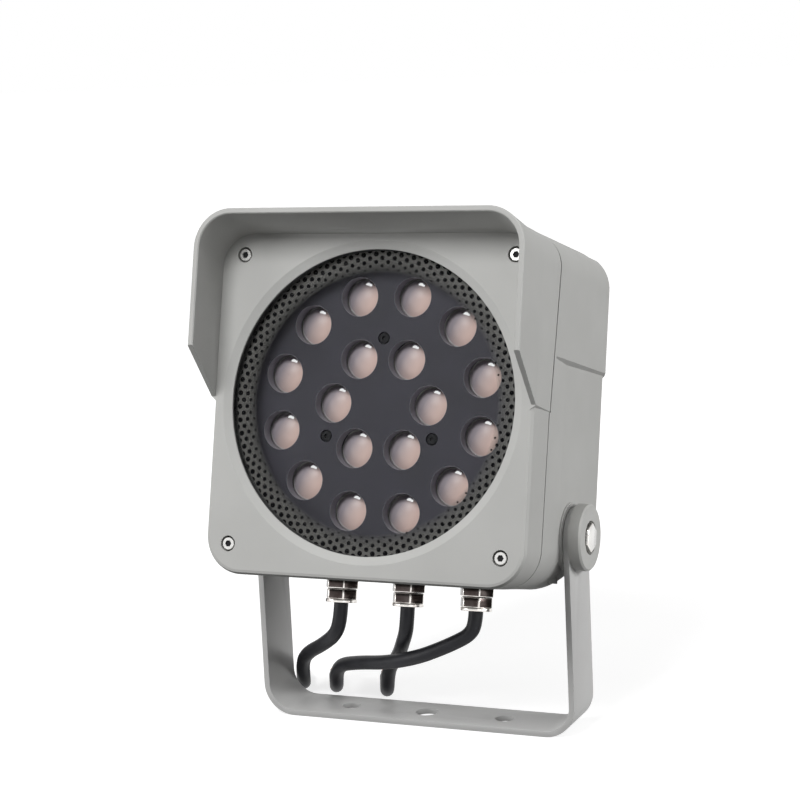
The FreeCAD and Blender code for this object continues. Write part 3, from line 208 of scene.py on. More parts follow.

# %% [markdown]
# ## The three cables
# Each cable hangs out of its gland, falls behind the front of the bracket and ends a little behind the base.
# A cable is drawn best as one smooth curve. The control points are the route of the CAD model, so the curve lies
# where the solid lies, and the tube follows points that Blender reads back from that curve.
# The bare cores start a little inside the end of the sheath and stick out beyond the end of the route.

# %% Routes
CABLE_DIAMETER = 10 * MM
EXITS = {"left": (-50, -24.965, 86.342), "middle": (0, -24.965, 86.342), "right": (50, -24.965, 86.342)}
ROUTES = {
    "left": [EXITS["left"], (-50, -28.01, 74.735), (-55, -26, 63.5), (-71.5, -13, 51.5), (-92, 5, 39.5),
             (-104, 18, 28), (-110, 31, 5.2), (-122.5, 56, 5.2), (-127.4, 65.8, 5.2)],
    "middle": [EXITS["middle"], (0, -27.249, 77.637), (-1.5, -26.5, 69), (-7, -19.5, 60), (-15.5, -6, 49),
               (-25.5, 8.5, 38), (-36, 18, 27), (-43, 29, 5.2), (-54.5, 54.5, 5.2), (-60.1, 67.1, 5.2)],
    "right": [EXITS["right"], (50, -27.376, 77.153), (46, -29, 70.5), (37, -30, 65.5), (25.5, -30.5, 60),
              (8, -29.5, 52.5), (-18.5, -22, 44.5), (-50.5, -3, 37), (-75, 15, 28), (-83, 29, 5.2),
              (-95.2, 54.2, 5.2), (-99.1, 62.3, 5.2)],
}
print("control points:", {side: len(route) for side, route in ROUTES.items()})


# %% Cable tools
def route_curve(name, points):
    """A smooth NURBS curve with these control points, in metres."""
    data = bpy.data.curves.new(name, "CURVE")
    data.dimensions = "3D"
    data.resolution_u = 12
    spline = data.splines.new("NURBS")
    spline.points.add(len(points) - 1)
    for point, place in zip(spline.points, points):
        point.co = (*place, 1)
    spline.order_u = 3
    spline.use_endpoint_u = True
    curve = bpy.data.objects.new(name, data)
    bpy.context.scene.collection.objects.link(curve)
    return curve


def points_of(curve):
    """The points that Blender draws the curve through."""
    bpy.context.view_layer.update()
    line = bpy.data.meshes.new_from_object(curve)
    return [vertex.co.copy() for vertex in line.vertices]


def tube(name, points, radius, resolution):
    """A round mesh tube along these points, closed at both ends. The resolution is that of Blender's bevel."""
    data = bpy.data.curves.new(name, "CURVE")
    data.dimensions = "3D"
    data.bevel_depth = radius
    data.bevel_resolution = resolution
    data.use_fill_caps = True
    spline = data.splines.new("POLY")
    spline.points.add(len(points) - 1)
    for point, place in zip(spline.points, points):
        point.co = (*place, 1)
    spline.use_smooth = True
    curve = bpy.data.objects.new(name + "_curve", data)
    bpy.context.scene.collection.objects.link(curve)
    bpy.context.view_layer.update()
    mesh = bpy.data.meshes.new_from_object(curve)
    bpy.data.objects.remove(curve)
    mesh.name = name
    piece = bpy.data.objects.new(name, mesh)
    bpy.context.scene.collection.objects.link(piece)
    return piece


def length_of(points):
    """The length of a line through these points."""
    return sum((b - a).length for a, b in zip(points, points[1:]))


# %% [markdown]
# ## Finishes
# Every surface but the glass is a Principled shader, and noise on Object coordinates varies its colour, its
# roughness or its bump. The light is new and clean in the photograph, so there is hardly any wear: the paint has the
# fine orange peel of powder coat, the steel is lightly brushed, and the rubber has a dull skin.


# %% Tools for finishes
def finish(name, colour, roughness, metallic=0.0, coat=0.0):
    """A new Principled material. Plain numbers sit on the shader's own sockets."""
    material = bpy.data.materials.new(name)
    material.use_nodes = True
    shader = material.node_tree.nodes["Principled BSDF"]
    shader.inputs["Base Color"].default_value = (*colour, 1)
    shader.inputs["Roughness"].default_value = roughness
    shader.inputs["Metallic"].default_value = metallic
    shader.inputs["Coat Weight"].default_value = coat
    return material, shader


def noise_on(material, scale, detail, stretch=(1, 1, 1)):
    """Noise on Object coordinates. scale is in waves per metre, stretch squeezes it along an axis."""
    tree = material.node_tree
    place = tree.nodes.new("ShaderNodeTexCoord")
    mapping = tree.nodes.new("ShaderNodeMapping")
    mapping.inputs["Scale"].default_value = stretch
    noise = tree.nodes.new("ShaderNodeTexNoise")
    noise.inputs["Scale"].default_value = scale
    noise.inputs["Detail"].default_value = detail
    tree.links.new(place.outputs["Object"], mapping.inputs["Vector"])
    tree.links.new(mapping.outputs["Vector"], noise.inputs["Vector"])
    return noise.outputs["Fac"]


def tint(material, shader, noise, dark, light):
    """The colour wanders between dark and light with the noise, which stays mostly near 0.5."""
    ramp = material.node_tree.nodes.new("ShaderNodeValToRGB")
    for stop, place, colour in zip(ramp.color_ramp.elements, (0.35, 0.65), (dark, light)):
        stop.position = place
        stop.color = (*colour, 1)
    material.node_tree.links.new(noise, ramp.inputs["Fac"])
    material.node_tree.links.new(ramp.outputs["Color"], shader.inputs["Base Color"])


def uneven(material, shader, noise, smooth, rough):
    """The roughness wanders between smooth and rough with the noise."""
    spread = material.node_tree.nodes.new("ShaderNodeMapRange")
    spread.inputs["To Min"].default_value = smooth
    spread.inputs["To Max"].default_value = rough
    material.node_tree.links.new(noise, spread.inputs["Value"])
    material.node_tree.links.new(spread.outputs["Result"], shader.inputs["Roughness"])


def grain(material, shader, noise, height, strength):
    """A bump of about this height in metres."""
    bump = material.node_tree.nodes.new("ShaderNodeBump")
    bump.inputs["Distance"].default_value = height
    bump.inputs["Strength"].default_value = strength
    material.node_tree.links.new(noise, bump.inputs["Height"])
    material.node_tree.links.new(bump.outputs["Normal"], shader.inputs["Normal"])


# %% [markdown]
# Powder coat is sprayed dry and melted in an oven, so it flows into a fine, even orange peel. A bump of a few
# hundredths of a millimetre is that peel, and the colour and the roughness wander slowly over the big flat faces,
# which would look drawn otherwise. The castings are the dullest, the bracket has a little more gloss, and the discs
# are darker.

# %% Powder coat of the castings, of the bracket and of the pivot discs
casting, shader = finish("casting_powder_coat", (0.45, 0.45, 0.437), 0.5)
shader.inputs["Specular IOR Level"].default_value = 0.08
tint(casting, shader, noise_on(casting, 14, 4), (0.435, 0.435, 0.422), (0.465, 0.465, 0.452))
uneven(casting, shader, noise_on(casting, 60, 2), 0.54, 0.66)
grain(casting, shader, noise_on(casting, 850, 2), 0.00006, 0.5)

bracket_paint, shader = finish("bracket_powder_coat", (0.5, 0.498, 0.492), 0.5)
shader.inputs["Specular IOR Level"].default_value = 0.25
tint(bracket_paint, shader, noise_on(bracket_paint, 18, 4), (0.485, 0.483, 0.477), (0.515, 0.513, 0.507))
uneven(bracket_paint, shader, noise_on(bracket_paint, 70, 2), 0.4, 0.52)
grain(bracket_paint, shader, noise_on(bracket_paint, 900, 2), 0.00005, 0.5)

disc_paint, shader = finish("disc_powder_coat", (0.4, 0.4, 0.385), 0.5)
tint(disc_paint, shader, noise_on(disc_paint, 40, 4), (0.385, 0.385, 0.37), (0.415, 0.415, 0.4))
uneven(disc_paint, shader, noise_on(disc_paint, 90, 2), 0.44, 0.56)
grain(disc_paint, shader, noise_on(disc_paint, 850, 2), 0.00006, 0.5)
print("paints:", casting.name, bracket_paint.name, disc_paint.name)

# %% [markdown]
# Rubber and soft plastic have hardly a highlight. They get a high roughness or a low specular level, and a finer
# grain than paint has.

# %% Rubber of the seals, skin of the cables, grey washers
rubber, shader = finish("seal_rubber", (0.03, 0.03, 0.03), 0.75)
tint(rubber, shader, noise_on(rubber, 120, 3), (0.022, 0.022, 0.022), (0.038, 0.038, 0.037))
grain(rubber, shader, noise_on(rubber, 1500, 2), 0.00004, 0.5)

cable_skin, shader = finish("cable_sheath", (0.014, 0.014, 0.018), 0.45)
shader.inputs["Specular IOR Level"].default_value = 0.25
tint(cable_skin, shader, noise_on(cable_skin, 90, 3), (0.011, 0.0112, 0.014), (0.018, 0.0185, 0.023))
uneven(cable_skin, shader, noise_on(cable_skin, 140, 3), 0.38, 0.54)
grain(cable_skin, shader, noise_on(cable_skin, 1100, 2), 0.00005, 0.4)

washer_plastic, shader = finish("washer_plastic", (0.36, 0.36, 0.35), 0.6)
tint(washer_plastic, shader, noise_on(washer_plastic, 150, 2), (0.34, 0.34, 0.33), (0.38, 0.38, 0.37))
grain(washer_plastic, shader, noise_on(washer_plastic, 1200, 2), 0.00003, 0.4)
print("soft finishes:", rubber.name, cable_skin.name, washer_plastic.name)

# %% [markdown]
# Bare metal takes its colour from what it mirrors, so it needs an uneven roughness more than an uneven colour.
# The noise is squeezed along one axis where a tool has drawn lines. The nickel plating is two finishes: a dark one
# for the flats, which is painted shade, and a paler one for the edges, which is a painted highlight.

# %% Bare metals
steel, shader = finish("bright_steel", (0.62, 0.615, 0.6), 0.28, metallic=1.0)
uneven(steel, shader, noise_on(steel, 500, 3, (1, 1, 6)), 0.2, 0.36)
grain(steel, shader, noise_on(steel, 900, 2, (1, 1, 8)), 0.00002, 0.3)

inner_steel, shader = finish("plain_steel", (0.55, 0.55, 0.54), 0.38, metallic=1.0)
uneven(inner_steel, shader, noise_on(inner_steel, 400, 3), 0.3, 0.46)

# Painted shade: a dark copy of the nickel for the flats, as if they mirrored only the dark underside of the housing.
plated_brass, shader = finish("nickel_plated_brass_painted_shade", (0.065, 0.053, 0.05), 0.2, metallic=1.0)
tint(plated_brass, shader, noise_on(plated_brass, 160, 3), (0.045, 0.034, 0.032), (0.09, 0.076, 0.072))
uneven(plated_brass, shader, noise_on(plated_brass, 300, 3), 0.14, 0.26)

# Painted highlight: a pale copy of the nickel for bevelled edges and for the rim under each gland nut.
nickel_painted_highlight, shader = finish("nickel_edge_painted_highlight", (0.72, 0.69, 0.66), 0.22, metallic=1.0)
tint(nickel_painted_highlight, shader, noise_on(nickel_painted_highlight, 200, 3), (0.62, 0.58, 0.55), (0.8, 0.78, 0.75))
uneven(nickel_painted_highlight, shader, noise_on(nickel_painted_highlight, 300, 3), 0.16, 0.3)

# Near-black steel for the screws of the lens plate. The same finish is the painted shade in the corner sockets and
# under each lens glint.
dark_steel, shader = finish("blackened_steel_and_painted_shade", (0.012, 0.012, 0.014), 0.5)
shader.inputs["Specular IOR Level"].default_value = 0.1
tint(dark_steel, shader, noise_on(dark_steel, 300, 3), (0.009, 0.009, 0.01), (0.016, 0.016, 0.018))
uneven(dark_steel, shader, noise_on(dark_steel, 400, 3), 0.42, 0.6)

inner_aluminium, shader = finish("plain_aluminium", (0.7, 0.7, 0.7), 0.42, metallic=1.0)
uneven(inner_aluminium, shader, noise_on(inner_aluminium, 300, 3, (1, 5, 1)), 0.34, 0.5)
print("metals:", [metal.name for metal in (steel, inner_steel, plated_brass, nickel_painted_highlight, dark_steel)],
      "and", inner_aluminium.name)

# %% [markdown]
# The lens plate is a smooth, dark moulding. The wall of each well is in the shade of the plate, and its paler
# colour is painted light that keeps it visible. The board, the driver and the terminal block are inside and stay
# plain. The print on the glass is matt black ink, without a highlight of its own.

# %% Plastics, board and print
dark_plate, shader = finish("lens_plate_plastic", (0.03, 0.0285, 0.037), 0.6)
shader.inputs["Specular IOR Level"].default_value = 0.25
tint(dark_plate, shader, noise_on(dark_plate, 40, 3), (0.028, 0.0265, 0.034), (0.033, 0.031, 0.041))
grain(dark_plate, shader, noise_on(dark_plate, 1400, 2), 0.00001, 0.15)

# Painted light: the wall of each well is in the shade of the plate, so it is given a paler colour than the plate.
well_wall_painted_light, shader = finish("well_wall_plastic_painted_light", (0.26, 0.25, 0.28), 0.6)
tint(well_wall_painted_light, shader, noise_on(well_wall_painted_light, 60, 3), (0.24, 0.231, 0.26), (0.28, 0.27, 0.3))

board, shader = finish("board_lacquer", (0.78, 0.78, 0.74), 0.35)
tint(board, shader, noise_on(board, 200, 2), (0.74, 0.74, 0.7), (0.8, 0.8, 0.77))

driver_case, shader = finish("driver_plastic", (0.72, 0.72, 0.7), 0.55)
tint(driver_case, shader, noise_on(driver_case, 80, 3), (0.68, 0.68, 0.66), (0.74, 0.74, 0.72))
grain(driver_case, shader, noise_on(driver_case, 1000, 2), 0.00003, 0.5)

terminal_plastic, shader = finish("terminal_plastic", (0.6, 0.58, 0.52), 0.5)
tint(terminal_plastic, shader, noise_on(terminal_plastic, 120, 3), (0.56, 0.54, 0.48), (0.62, 0.6, 0.55))
grain(terminal_plastic, shader, noise_on(terminal_plastic, 1000, 2), 0.00003, 0.5)

print_black, shader = finish("printed_black", (0.006, 0.006, 0.007), 0.6)
shader.inputs["Specular IOR Level"].default_value = 0
tint(print_black, shader, noise_on(print_black, 300, 2), (0.005, 0.005, 0.006), (0.008, 0.008, 0.009))
print("plastics:", [plastic.name for plastic in (dark_plate, well_wall_painted_light, board, driver_case, terminal_plastic)],
      "and ink:", print_black.name)

# %% [markdown]
# ## Lens plastic with painted light and shade
# The colour of each lens is painted light and shade. A moulded lens over a lit chip bends the light of the chip and
# of the room into different parts of its face. Here, instead, the side that faces one fixed direction is painted
# warm and rosy, as if lit, and the other side is painted cool and grey, as if shaded. The dot product of the
# surface's direction with that fixed direction is small on the shaded side and large on the lit side. The direction
# is the lens's own, so the painted split stays where it is when the camera moves or the head tilts.

# %% Lens plastic with painted light and shade
# Painted light and shade: warm and rosy where the lens faces this direction, cool and grey where it faces away.
PAINTED_LIGHT_DIRECTION = (0.86, -0.13, -0.5)
PAINTED_SHADE_COLOUR = (0.3, 0.265, 0.29, 1)
PAINTED_LIGHT_COLOUR = (0.75, 0.56, 0.5, 1)
PAINTED_SHADE_BELOW, PAINTED_LIGHT_ABOVE = -0.3, 0.35
lens_plastic_painted_light, shader = finish("lens_acrylic_painted_light", (0.6, 0.5, 0.48), 0.36)
shader.inputs["Specular IOR Level"].default_value = 0.25
uneven(lens_plastic_painted_light, shader, noise_on(lens_plastic_painted_light, 500, 2), 0.32, 0.44)
nodes, links = lens_plastic_painted_light.node_tree.nodes, lens_plastic_painted_light.node_tree.links
lens_side = nodes.new("ShaderNodeTexCoord")
lens_turn = nodes.new("ShaderNodeVectorMath")
lens_turn.operation = "DOT_PRODUCT"
lens_turn.inputs[1].default_value = PAINTED_LIGHT_DIRECTION
lens_painted_light = nodes.new("ShaderNodeValToRGB")
lens_painted_light.color_ramp.elements[0].color = PAINTED_SHADE_COLOUR
lens_painted_light.color_ramp.elements[1].color = PAINTED_LIGHT_COLOUR
lens_spread = nodes.new("ShaderNodeMapRange")
lens_spread.inputs["From Min"].default_value = PAINTED_SHADE_BELOW
lens_spread.inputs["From Max"].default_value = PAINTED_LIGHT_ABOVE
links.new(lens_side.outputs["Normal"], lens_turn.inputs[0])
links.new(lens_turn.outputs["Value"], lens_spread.inputs["Value"])
links.new(lens_spread.outputs["Result"], lens_painted_light.inputs["Fac"])
links.new(lens_painted_light.outputs["Color"], shader.inputs["Base Color"])
print("lens colours:", PAINTED_SHADE_COLOUR[:3], PAINTED_LIGHT_COLOUR[:3])

# %% Clear rim of a lens and the finish of its painted glint
lens_edge, shader = finish("lens_edge_acrylic", (0.6, 0.58, 0.58), 0.2, coat=0.5)
uneven(lens_edge, shader, noise_on(lens_edge, 500, 2), 0.14, 0.26)

# Painted highlight: white mirror metal for the small oval at the top of each lens, which stands in for a glint.
glint_painted_highlight, shader = finish("lens_glint_painted_highlight", (0.95, 0.95, 0.95), 0.12, metallic=1.0)
uneven(glint_painted_highlight, shader, noise_on(glint_painted_highlight, 500, 2), 0.08, 0.16)
print("lens finishes:", lens_plastic_painted_light.name, lens_edge.name, glint_painted_highlight.name)

# %% [markdown]
# ## Glass
# A pane of real glass would keep the lamps out of the housing, because a path tracer can't find a lamp through it.
# So the pane lets light straight through where it isn't mirroring: a Fresnel node mixes a clear shader with a
# glossy one, strong at a flat angle and weak when seen straight on. Its index is low, as on a pane that is coated
# against glare, so the black dots printed on it stay black.

# %% Front glass
PANE_COLOUR = (0.955, 0.96, 0.96, 1)
PANE_INDEX = 1.1
PANE_ROUGHNESS = 0.03
front_glass = bpy.data.materials.new("front_glass")
front_glass.use_nodes = True
nodes, links = front_glass.node_tree.nodes, front_glass.node_tree.links
nodes.clear()
glass_out = nodes.new("ShaderNodeOutputMaterial")
glass_clear = nodes.new("ShaderNodeBsdfTransparent")
glass_clear.inputs["Color"].default_value = PANE_COLOUR
glass_gloss = nodes.new("ShaderNodeBsdfGlossy")
glass_gloss.inputs["Roughness"].default_value = PANE_ROUGHNESS
glass_mix = nodes.new("ShaderNodeMixShader")
glass_angle = nodes.new("ShaderNodeFresnel")
glass_angle.inputs["IOR"].default_value = PANE_INDEX
links.new(glass_angle.outputs[0], glass_mix.inputs["Fac"])
links.new(glass_clear.outputs[0], glass_mix.inputs[1])
links.new(glass_gloss.outputs[0], glass_mix.inputs[2])
links.new(glass_mix.outputs[0], glass_out.inputs["Surface"])
print("glass index:", PANE_INDEX)

# %% [markdown]
# ## Finishes on the CAD nodes
# The record names a material slot for each node, so one table from slot to finish dresses the whole CAD model.
# The pivot discs are castings too, but they are darker in the photograph and take a paint of their own.

# %% Give the CAD nodes their finishes
FINISHES = {
    "casting": casting, "bracket_paint": bracket_paint, "front_glass": front_glass, "rubber_seal": rubber,
    "cable": cable_skin, "dark_plate": dark_plate, "lens": lens_plastic_painted_light, "board": board,
    "inner_aluminium": inner_aluminium, "inner_steel": inner_steel, "steel": steel, "plated_brass": plated_brass,
    "washer": washer_plastic, "driver_case": driver_case, "terminal_plastic": terminal_plastic,
    "dark_steel": dark_steel,
}
for part in frame["record"]["subparts"]:
    solid = frame["nodes"][part["node"]]
    solid.data.materials.clear()
    solid.data.materials.append(FINISHES[part["material_slot"]])
for node in ("pivot_disc_left", "pivot_disc_right"):
    frame["nodes"][node].data.materials[0] = disc_paint
print("finishes:", len(FINISHES))

# %% [markdown]
# ## Cables, drawn
# The cable is held by its gland above and lies on the floor below, and the tilt joint is between the two.
# At the far end the sheath is stripped and shows three coloured cores with their copper ends. They could be painted
# on the cut end, but real cores stick out and spread a little, so each one is a short tube of its own.


# %% Core colours
def plain_finish(name, colour, roughness, metallic=0.0):
    """One colour with a slight grain."""
    material, shader = finish(name, colour, roughness, metallic)
    grain(material, shader, noise_on(material, 1500, 2), 0.00002, 0.4)
    uneven(material, shader, noise_on(material, 300, 2), roughness * 0.85, roughness * 1.15)
    return material


core_brown = plain_finish("core_brown", (0.09, 0.035, 0.015), 0.4)
core_blue = plain_finish("core_blue", (0.02, 0.09, 0.35), 0.4)
core_green = plain_finish("core_green", (0.16, 0.3, 0.04), 0.4)
copper = plain_finish("bare_copper", (0.8, 0.4, 0.25), 0.3, metallic=1.0)
print("core finishes:", core_brown.name, core_blue.name, core_green.name, copper.name)


# %% Selecting and joining
def only(*pieces):
    """Selects these pieces and nothing else."""
    bpy.ops.object.select_all(action="DESELECT")
    for piece in pieces:
        piece.select_set(True)
    bpy.context.view_layer.objects.active = pieces[0]


def merged(name, pieces):
    """Joins pieces into one."""
    only(*pieces)
    bpy.ops.object.join()
    bpy.context.object.name = name
    return bpy.context.object


# %% Bare cores at the end of a cable
CORE_DIAMETER = 2.7 * MM
CORE_LIFTS = (1.2, -1.6, 0.9)
CORE_INSIDE, CORE_BEND, CORE_REACH = 4 * MM, 4 * MM, 9 * MM
STRAND_INSIDE, STRAND_REACH = 1 * MM, 3.5 * MM


def bare_cores(side, line):
    """Three cores with copper strands that stick out of the end of this line."""
    end, ahead = line[-1], (line[-1] - line[-2]).normalized()
    across = ahead.cross(Vector((0, 0, 1))).normalized()
    cores = []
    for k, core_finish in enumerate((core_brown, core_green, core_blue)):
        spread = across * (k - 1) * CORE_DIAMETER
        lift = Vector((0, 0, CORE_LIFTS[k] * MM))
        start = end - ahead * CORE_INSIDE + spread * 0.8 + lift * 0.6
        middle = end + ahead * CORE_BEND + spread * 0.9 + lift
        tip = end + ahead * CORE_REACH + spread + lift
        core = tube(f"core_{k}", [start, middle, tip], CORE_DIAMETER / 2, resolution=2)
        core.data.materials.append(core_finish)
        strand_line = [tip - ahead * STRAND_INSIDE, tip + ahead * STRAND_REACH]
        strand = tube(f"strand_{k}", strand_line, CORE_DIAMETER * 0.3, resolution=1)
        strand.data.materials.append(copper)
        cores += [core, strand]
    return merged("cable_cores_" + side, cores)


# %% Cables
for side, route in ROUTES.items():
    curve = route_curve("cable_line_" + side, [Vector(point) * MM for point in route])
    line = points_of(curve)
    bpy.data.objects.remove(curve)
    cable = tube("cable_" + side, line, CABLE_DIAMETER / 2, resolution=6)
    cable.data.materials.append(cable_skin)
    cores = bare_cores(side, line)
    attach(cores, "bracket_body")
    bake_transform(cable)
    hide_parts("cord_" + side)
    print("cable", side, "is", round(length_of(line), 3), "m long")

# %% [markdown]
# ## Pieces modelled by hand
# The next pieces are modelled upright, where the head's drawing has them, and only then leaned back. Each one ends
# with its place in its mesh, as a CAD piece has, so that a pattern on it turns with it when the head tilts.


# %% Modelling tools
def settled(piece, name, *skins):
    """Puts the place of a new piece into its mesh, leans it back, and gives it its finishes."""
    only(piece)
    bpy.ops.object.transform_apply(location=True, rotation=True, scale=True)
    piece.data.transform(HEAD)
    piece.name = name
    piece.data.materials.clear()
    for skin in skins:
        piece.data.materials.append(skin)
    return piece


def merged_copy(node, name):
    """A copy of a CAD node, whose loose triangles are merged back into whole faces."""
    copy = bpy.data.objects.new(name, frame["nodes"][node].data.copy())
    bpy.context.scene.collection.objects.link(copy)
    only(copy)
    bpy.ops.object.mode_set(mode="EDIT")
    bpy.ops.mesh.select_all(action="SELECT")
    bpy.ops.mesh.remove_doubles(threshold=0.000002)
    bpy.ops.mesh.dissolve_limited(angle_limit=math.radians(0.5))
    bpy.ops.object.mode_set(mode="OBJECT")
    return copy


def rounded(piece, width, steps, edge_slot=-1):
    """Rounds the edges that turn by more than 40 degrees. The rounding may take another finish of the piece."""
    only(piece)
    edges = piece.modifiers.new("soft_edges", "BEVEL")
    edges.width = width
    edges.segments = steps
    edges.limit_method = "ANGLE"
    edges.angle_limit = math.radians(40)
    edges.material = edge_slot
    bpy.ops.object.modifier_apply(modifier="soft_edges")
    bpy.ops.object.shade_smooth_by_angle(angle=math.radians(35))
    return piece


# %% [markdown]
# ## Bracket with soft edges
# The bracket is cut and bent from strip and then powder coated, so none of its edges is razor sharp: they catch
# a thin line of light. It could be drawn again from its sizes, but a copy of the CAD strip has the right bends and
# holes already. Its loose triangles are merged back into whole faces, so that a bevel finds only the real edges.

# %% Bracket
bracket_strip = rounded(merged_copy("bracket", "bracket_strip"), width=0.7 * MM, steps=3)
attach(bracket_strip, "bracket_body")
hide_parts("bracket")
print("bracket faces:", len(bracket_strip.data.polygons))

# %% [markdown]
# ## Cable glands
# A gland is a plated brass body with a hexagon nut below it. Its flats are painted dark, as painted shade for the
# dark underside of the housing that they mirror, while the plating shines on every edge, and brightest on the round
# rim under the nut. A bright line along the edges could be drawn in the material, but a bevel catches the light by
# itself. So the edges are bevelled, and the bevels and the rim take a paler finish, which is a painted highlight.
# The nut ends in a ring that is open for the cable and its seal.

# %% Blocks and rim of a gland
GLAND_PITCH = 50 * MM
GLAND_BACK = -11.8 * MM
HOUSING_LOW = -37 * MM
BODY_FLATS, BODY_HEIGHT = 21 * MM, 6.6 * MM
NUT_FLATS, NUT_DROP, NUT_HEIGHT = 20 * MM, 6.9 * MM, 7.3 * MM
COLLAR_RADIUS, COLLAR_DROP, COLLAR_HEIGHT = 10.9 * MM, 13.9 * MM, 2.5 * MM
COLLAR_BORE, COLLAR_SUNK = 5.7 * MM, 1.5 * MM


def hexagon_block(flats, high, height, place):
    """A hexagon block that hangs down from a height."""
    bpy.ops.object.select_all(action="DESELECT")
    bpy.ops.mesh.primitive_cylinder_add(vertices=6, radius=flats / math.sqrt(3), depth=height,
                                        location=(place, GLAND_BACK, high - height / 2),
                                        rotation=(0, 0, math.radians(30)))
    return bpy.context.object


def nut_collar(radius, high, height, place):
    """The round end of a nut: a short ring whose lower face is sunk round the cable's seal."""
    bpy.ops.object.select_all(action="DESELECT")
    bpy.ops.mesh.primitive_cylinder_add(vertices=48, radius=radius, depth=height,
                                        location=(place, GLAND_BACK, high - height / 2))
    collar = bpy.context.object
    bpy.ops.object.mode_set(mode="EDIT")
    bpy.ops.mesh.select_all(action="DESELECT")
    bpy.ops.object.mode_set(mode="OBJECT")
    for face in collar.data.polygons:
        face.select = face.normal.z < -0.9
    bpy.ops.object.mode_set(mode="EDIT")
    bpy.ops.mesh.inset(thickness=radius - COLLAR_BORE)
    bpy.ops.mesh.extrude_region_move(TRANSFORM_OT_translate={"value": (0, 0, COLLAR_SUNK)})
    bpy.ops.object.mode_set(mode="OBJECT")
    return collar


# %% Three glands
for side, k in (("left", -1), ("middle", 0), ("right", 1)):
    place = GLAND_PITCH * k
    body = settled(hexagon_block(BODY_FLATS, HOUSING_LOW, BODY_HEIGHT, place), "gland_hexagon_" + side,
                   plated_brass, nickel_painted_highlight)
    rounded(body, width=0.55 * MM, steps=2, edge_slot=1)
    nut = settled(hexagon_block(NUT_FLATS, HOUSING_LOW - NUT_DROP, NUT_HEIGHT, place), "gland_cap_" + side,
                  plated_brass, nickel_painted_highlight)
    rounded(nut, width=0.75 * MM, steps=3, edge_slot=1)
    collar = settled(nut_collar(COLLAR_RADIUS, HOUSING_LOW - COLLAR_DROP, COLLAR_HEIGHT, place),
                     "gland_rim_" + side, nickel_painted_highlight)
    rounded(collar, width=0.6 * MM, steps=2)
    for piece, node in ((body, "gland_body_"), (nut, "gland_nut_"), (collar, "gland_nut_")):
        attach(piece, "head")
        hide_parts(node + side)
    print("gland", side, "faces:", [len(piece.data.polygons) for piece in (body, nut, collar)])

# %% [markdown]
# ## Printed dots of the glass
# The edge of the glass is printed in black on its inner side, solid at the very edge and then in dots that get
# smaller row by row, so that the eye doesn't see where the glass ends. The dots could be a pattern in the material
# of the glass, but modelled ones stay round and sharp from near. One dot is modelled for each row, a spin copies it
# round the circle, and every second row is turned by half a step.

# %% Rows of dots
PRINT_DEPTH = -86.75 * MM
PRINT_RADIUS = 103.8 * MM
INK = 0.04 * MM
DOTS = 68
# For each row of dots: its radius and the radius of a dot, in millimetres.
ROWS = [(101.4, 1.9), (98.8, 1.75), (96.1, 1.6), (93.4, 1.4), (90.8, 1.1), (88.3, 0.7)]
TO_FRONT = math.radians(90)
rows = []
for k, (radius, size) in enumerate(ROWS):
    bpy.ops.object.select_all(action="DESELECT")
    start = math.pi / DOTS * (k % 2)
    place = (radius * MM * math.sin(start), PRINT_DEPTH, OPTIC_HEIGHT + radius * MM * math.cos(start))
    bpy.ops.mesh.primitive_circle_add(vertices=10, radius=size * MM, fill_type="NGON", location=place,
                                      rotation=(TO_FRONT, 0, 0))
    dot = bpy.context.object
    only(dot)
    bpy.ops.object.transform_apply(location=True, rotation=True, scale=True)
    bpy.ops.object.mode_set(mode="EDIT")
    bpy.ops.mesh.select_all(action="SELECT")
    bpy.ops.mesh.extrude_region_move(TRANSFORM_OT_translate={"value": (0, INK, 0)})
    bpy.ops.mesh.select_all(action="SELECT")
    bpy.ops.mesh.spin(steps=DOTS, dupli=True, angle=math.tau, center=(0, PRINT_DEPTH, OPTIC_HEIGHT), axis=(0, 1, 0))
    bpy.ops.mesh.select_all(action="SELECT")
    bpy.ops.mesh.remove_doubles(threshold=0.000005)
    bpy.ops.mesh.normals_make_consistent(inside=False)
    bpy.ops.object.mode_set(mode="OBJECT")
    rows.append(dot)
print("rows of dots:", len(rows))


# %% Printed rim
def flat_ring(radius, width, depth, thick):
    """A thin flat ring that faces the front."""
    bpy.ops.object.select_all(action="DESELECT")
    bpy.ops.mesh.primitive_circle_add(vertices=160, radius=radius, fill_type="NGON", rotation=(TO_FRONT, 0, 0),
                                      location=(0, depth, OPTIC_HEIGHT))
    ring = bpy.context.object
    bpy.ops.object.mode_set(mode="EDIT")
    bpy.ops.mesh.select_all(action="SELECT")
    bpy.ops.mesh.inset(thickness=width)
    bpy.ops.mesh.delete(type="FACE")
    bpy.ops.mesh.select_all(action="SELECT")
    bpy.ops.mesh.extrude_region_move(TRANSFORM_OT_translate={"value": (0, thick, 0)})
    bpy.ops.mesh.select_all(action="SELECT")
    bpy.ops.mesh.normals_make_consistent(inside=False)
    bpy.ops.object.mode_set(mode="OBJECT")
    return ring


RING_WIDTH, RING_INK = 1.7 * MM, 0.05 * MM
rows.append(flat_ring(PRINT_RADIUS, RING_WIDTH, PRINT_DEPTH, RING_INK))
glass_print = settled(merged("glass_print", rows), "glass_print", print_black)
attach(glass_print, "head")
print("printed dots:", DOTS * len(ROWS), "faces:", len(glass_print.data.polygons))

# %% [markdown]
# The dots lie on a thin grey tint, which is dense at the edge of the glass and fades to nothing towards the middle.
# The distance from the middle axis of the glass drives the fade: the cross product with the axis' direction has
# just that length.

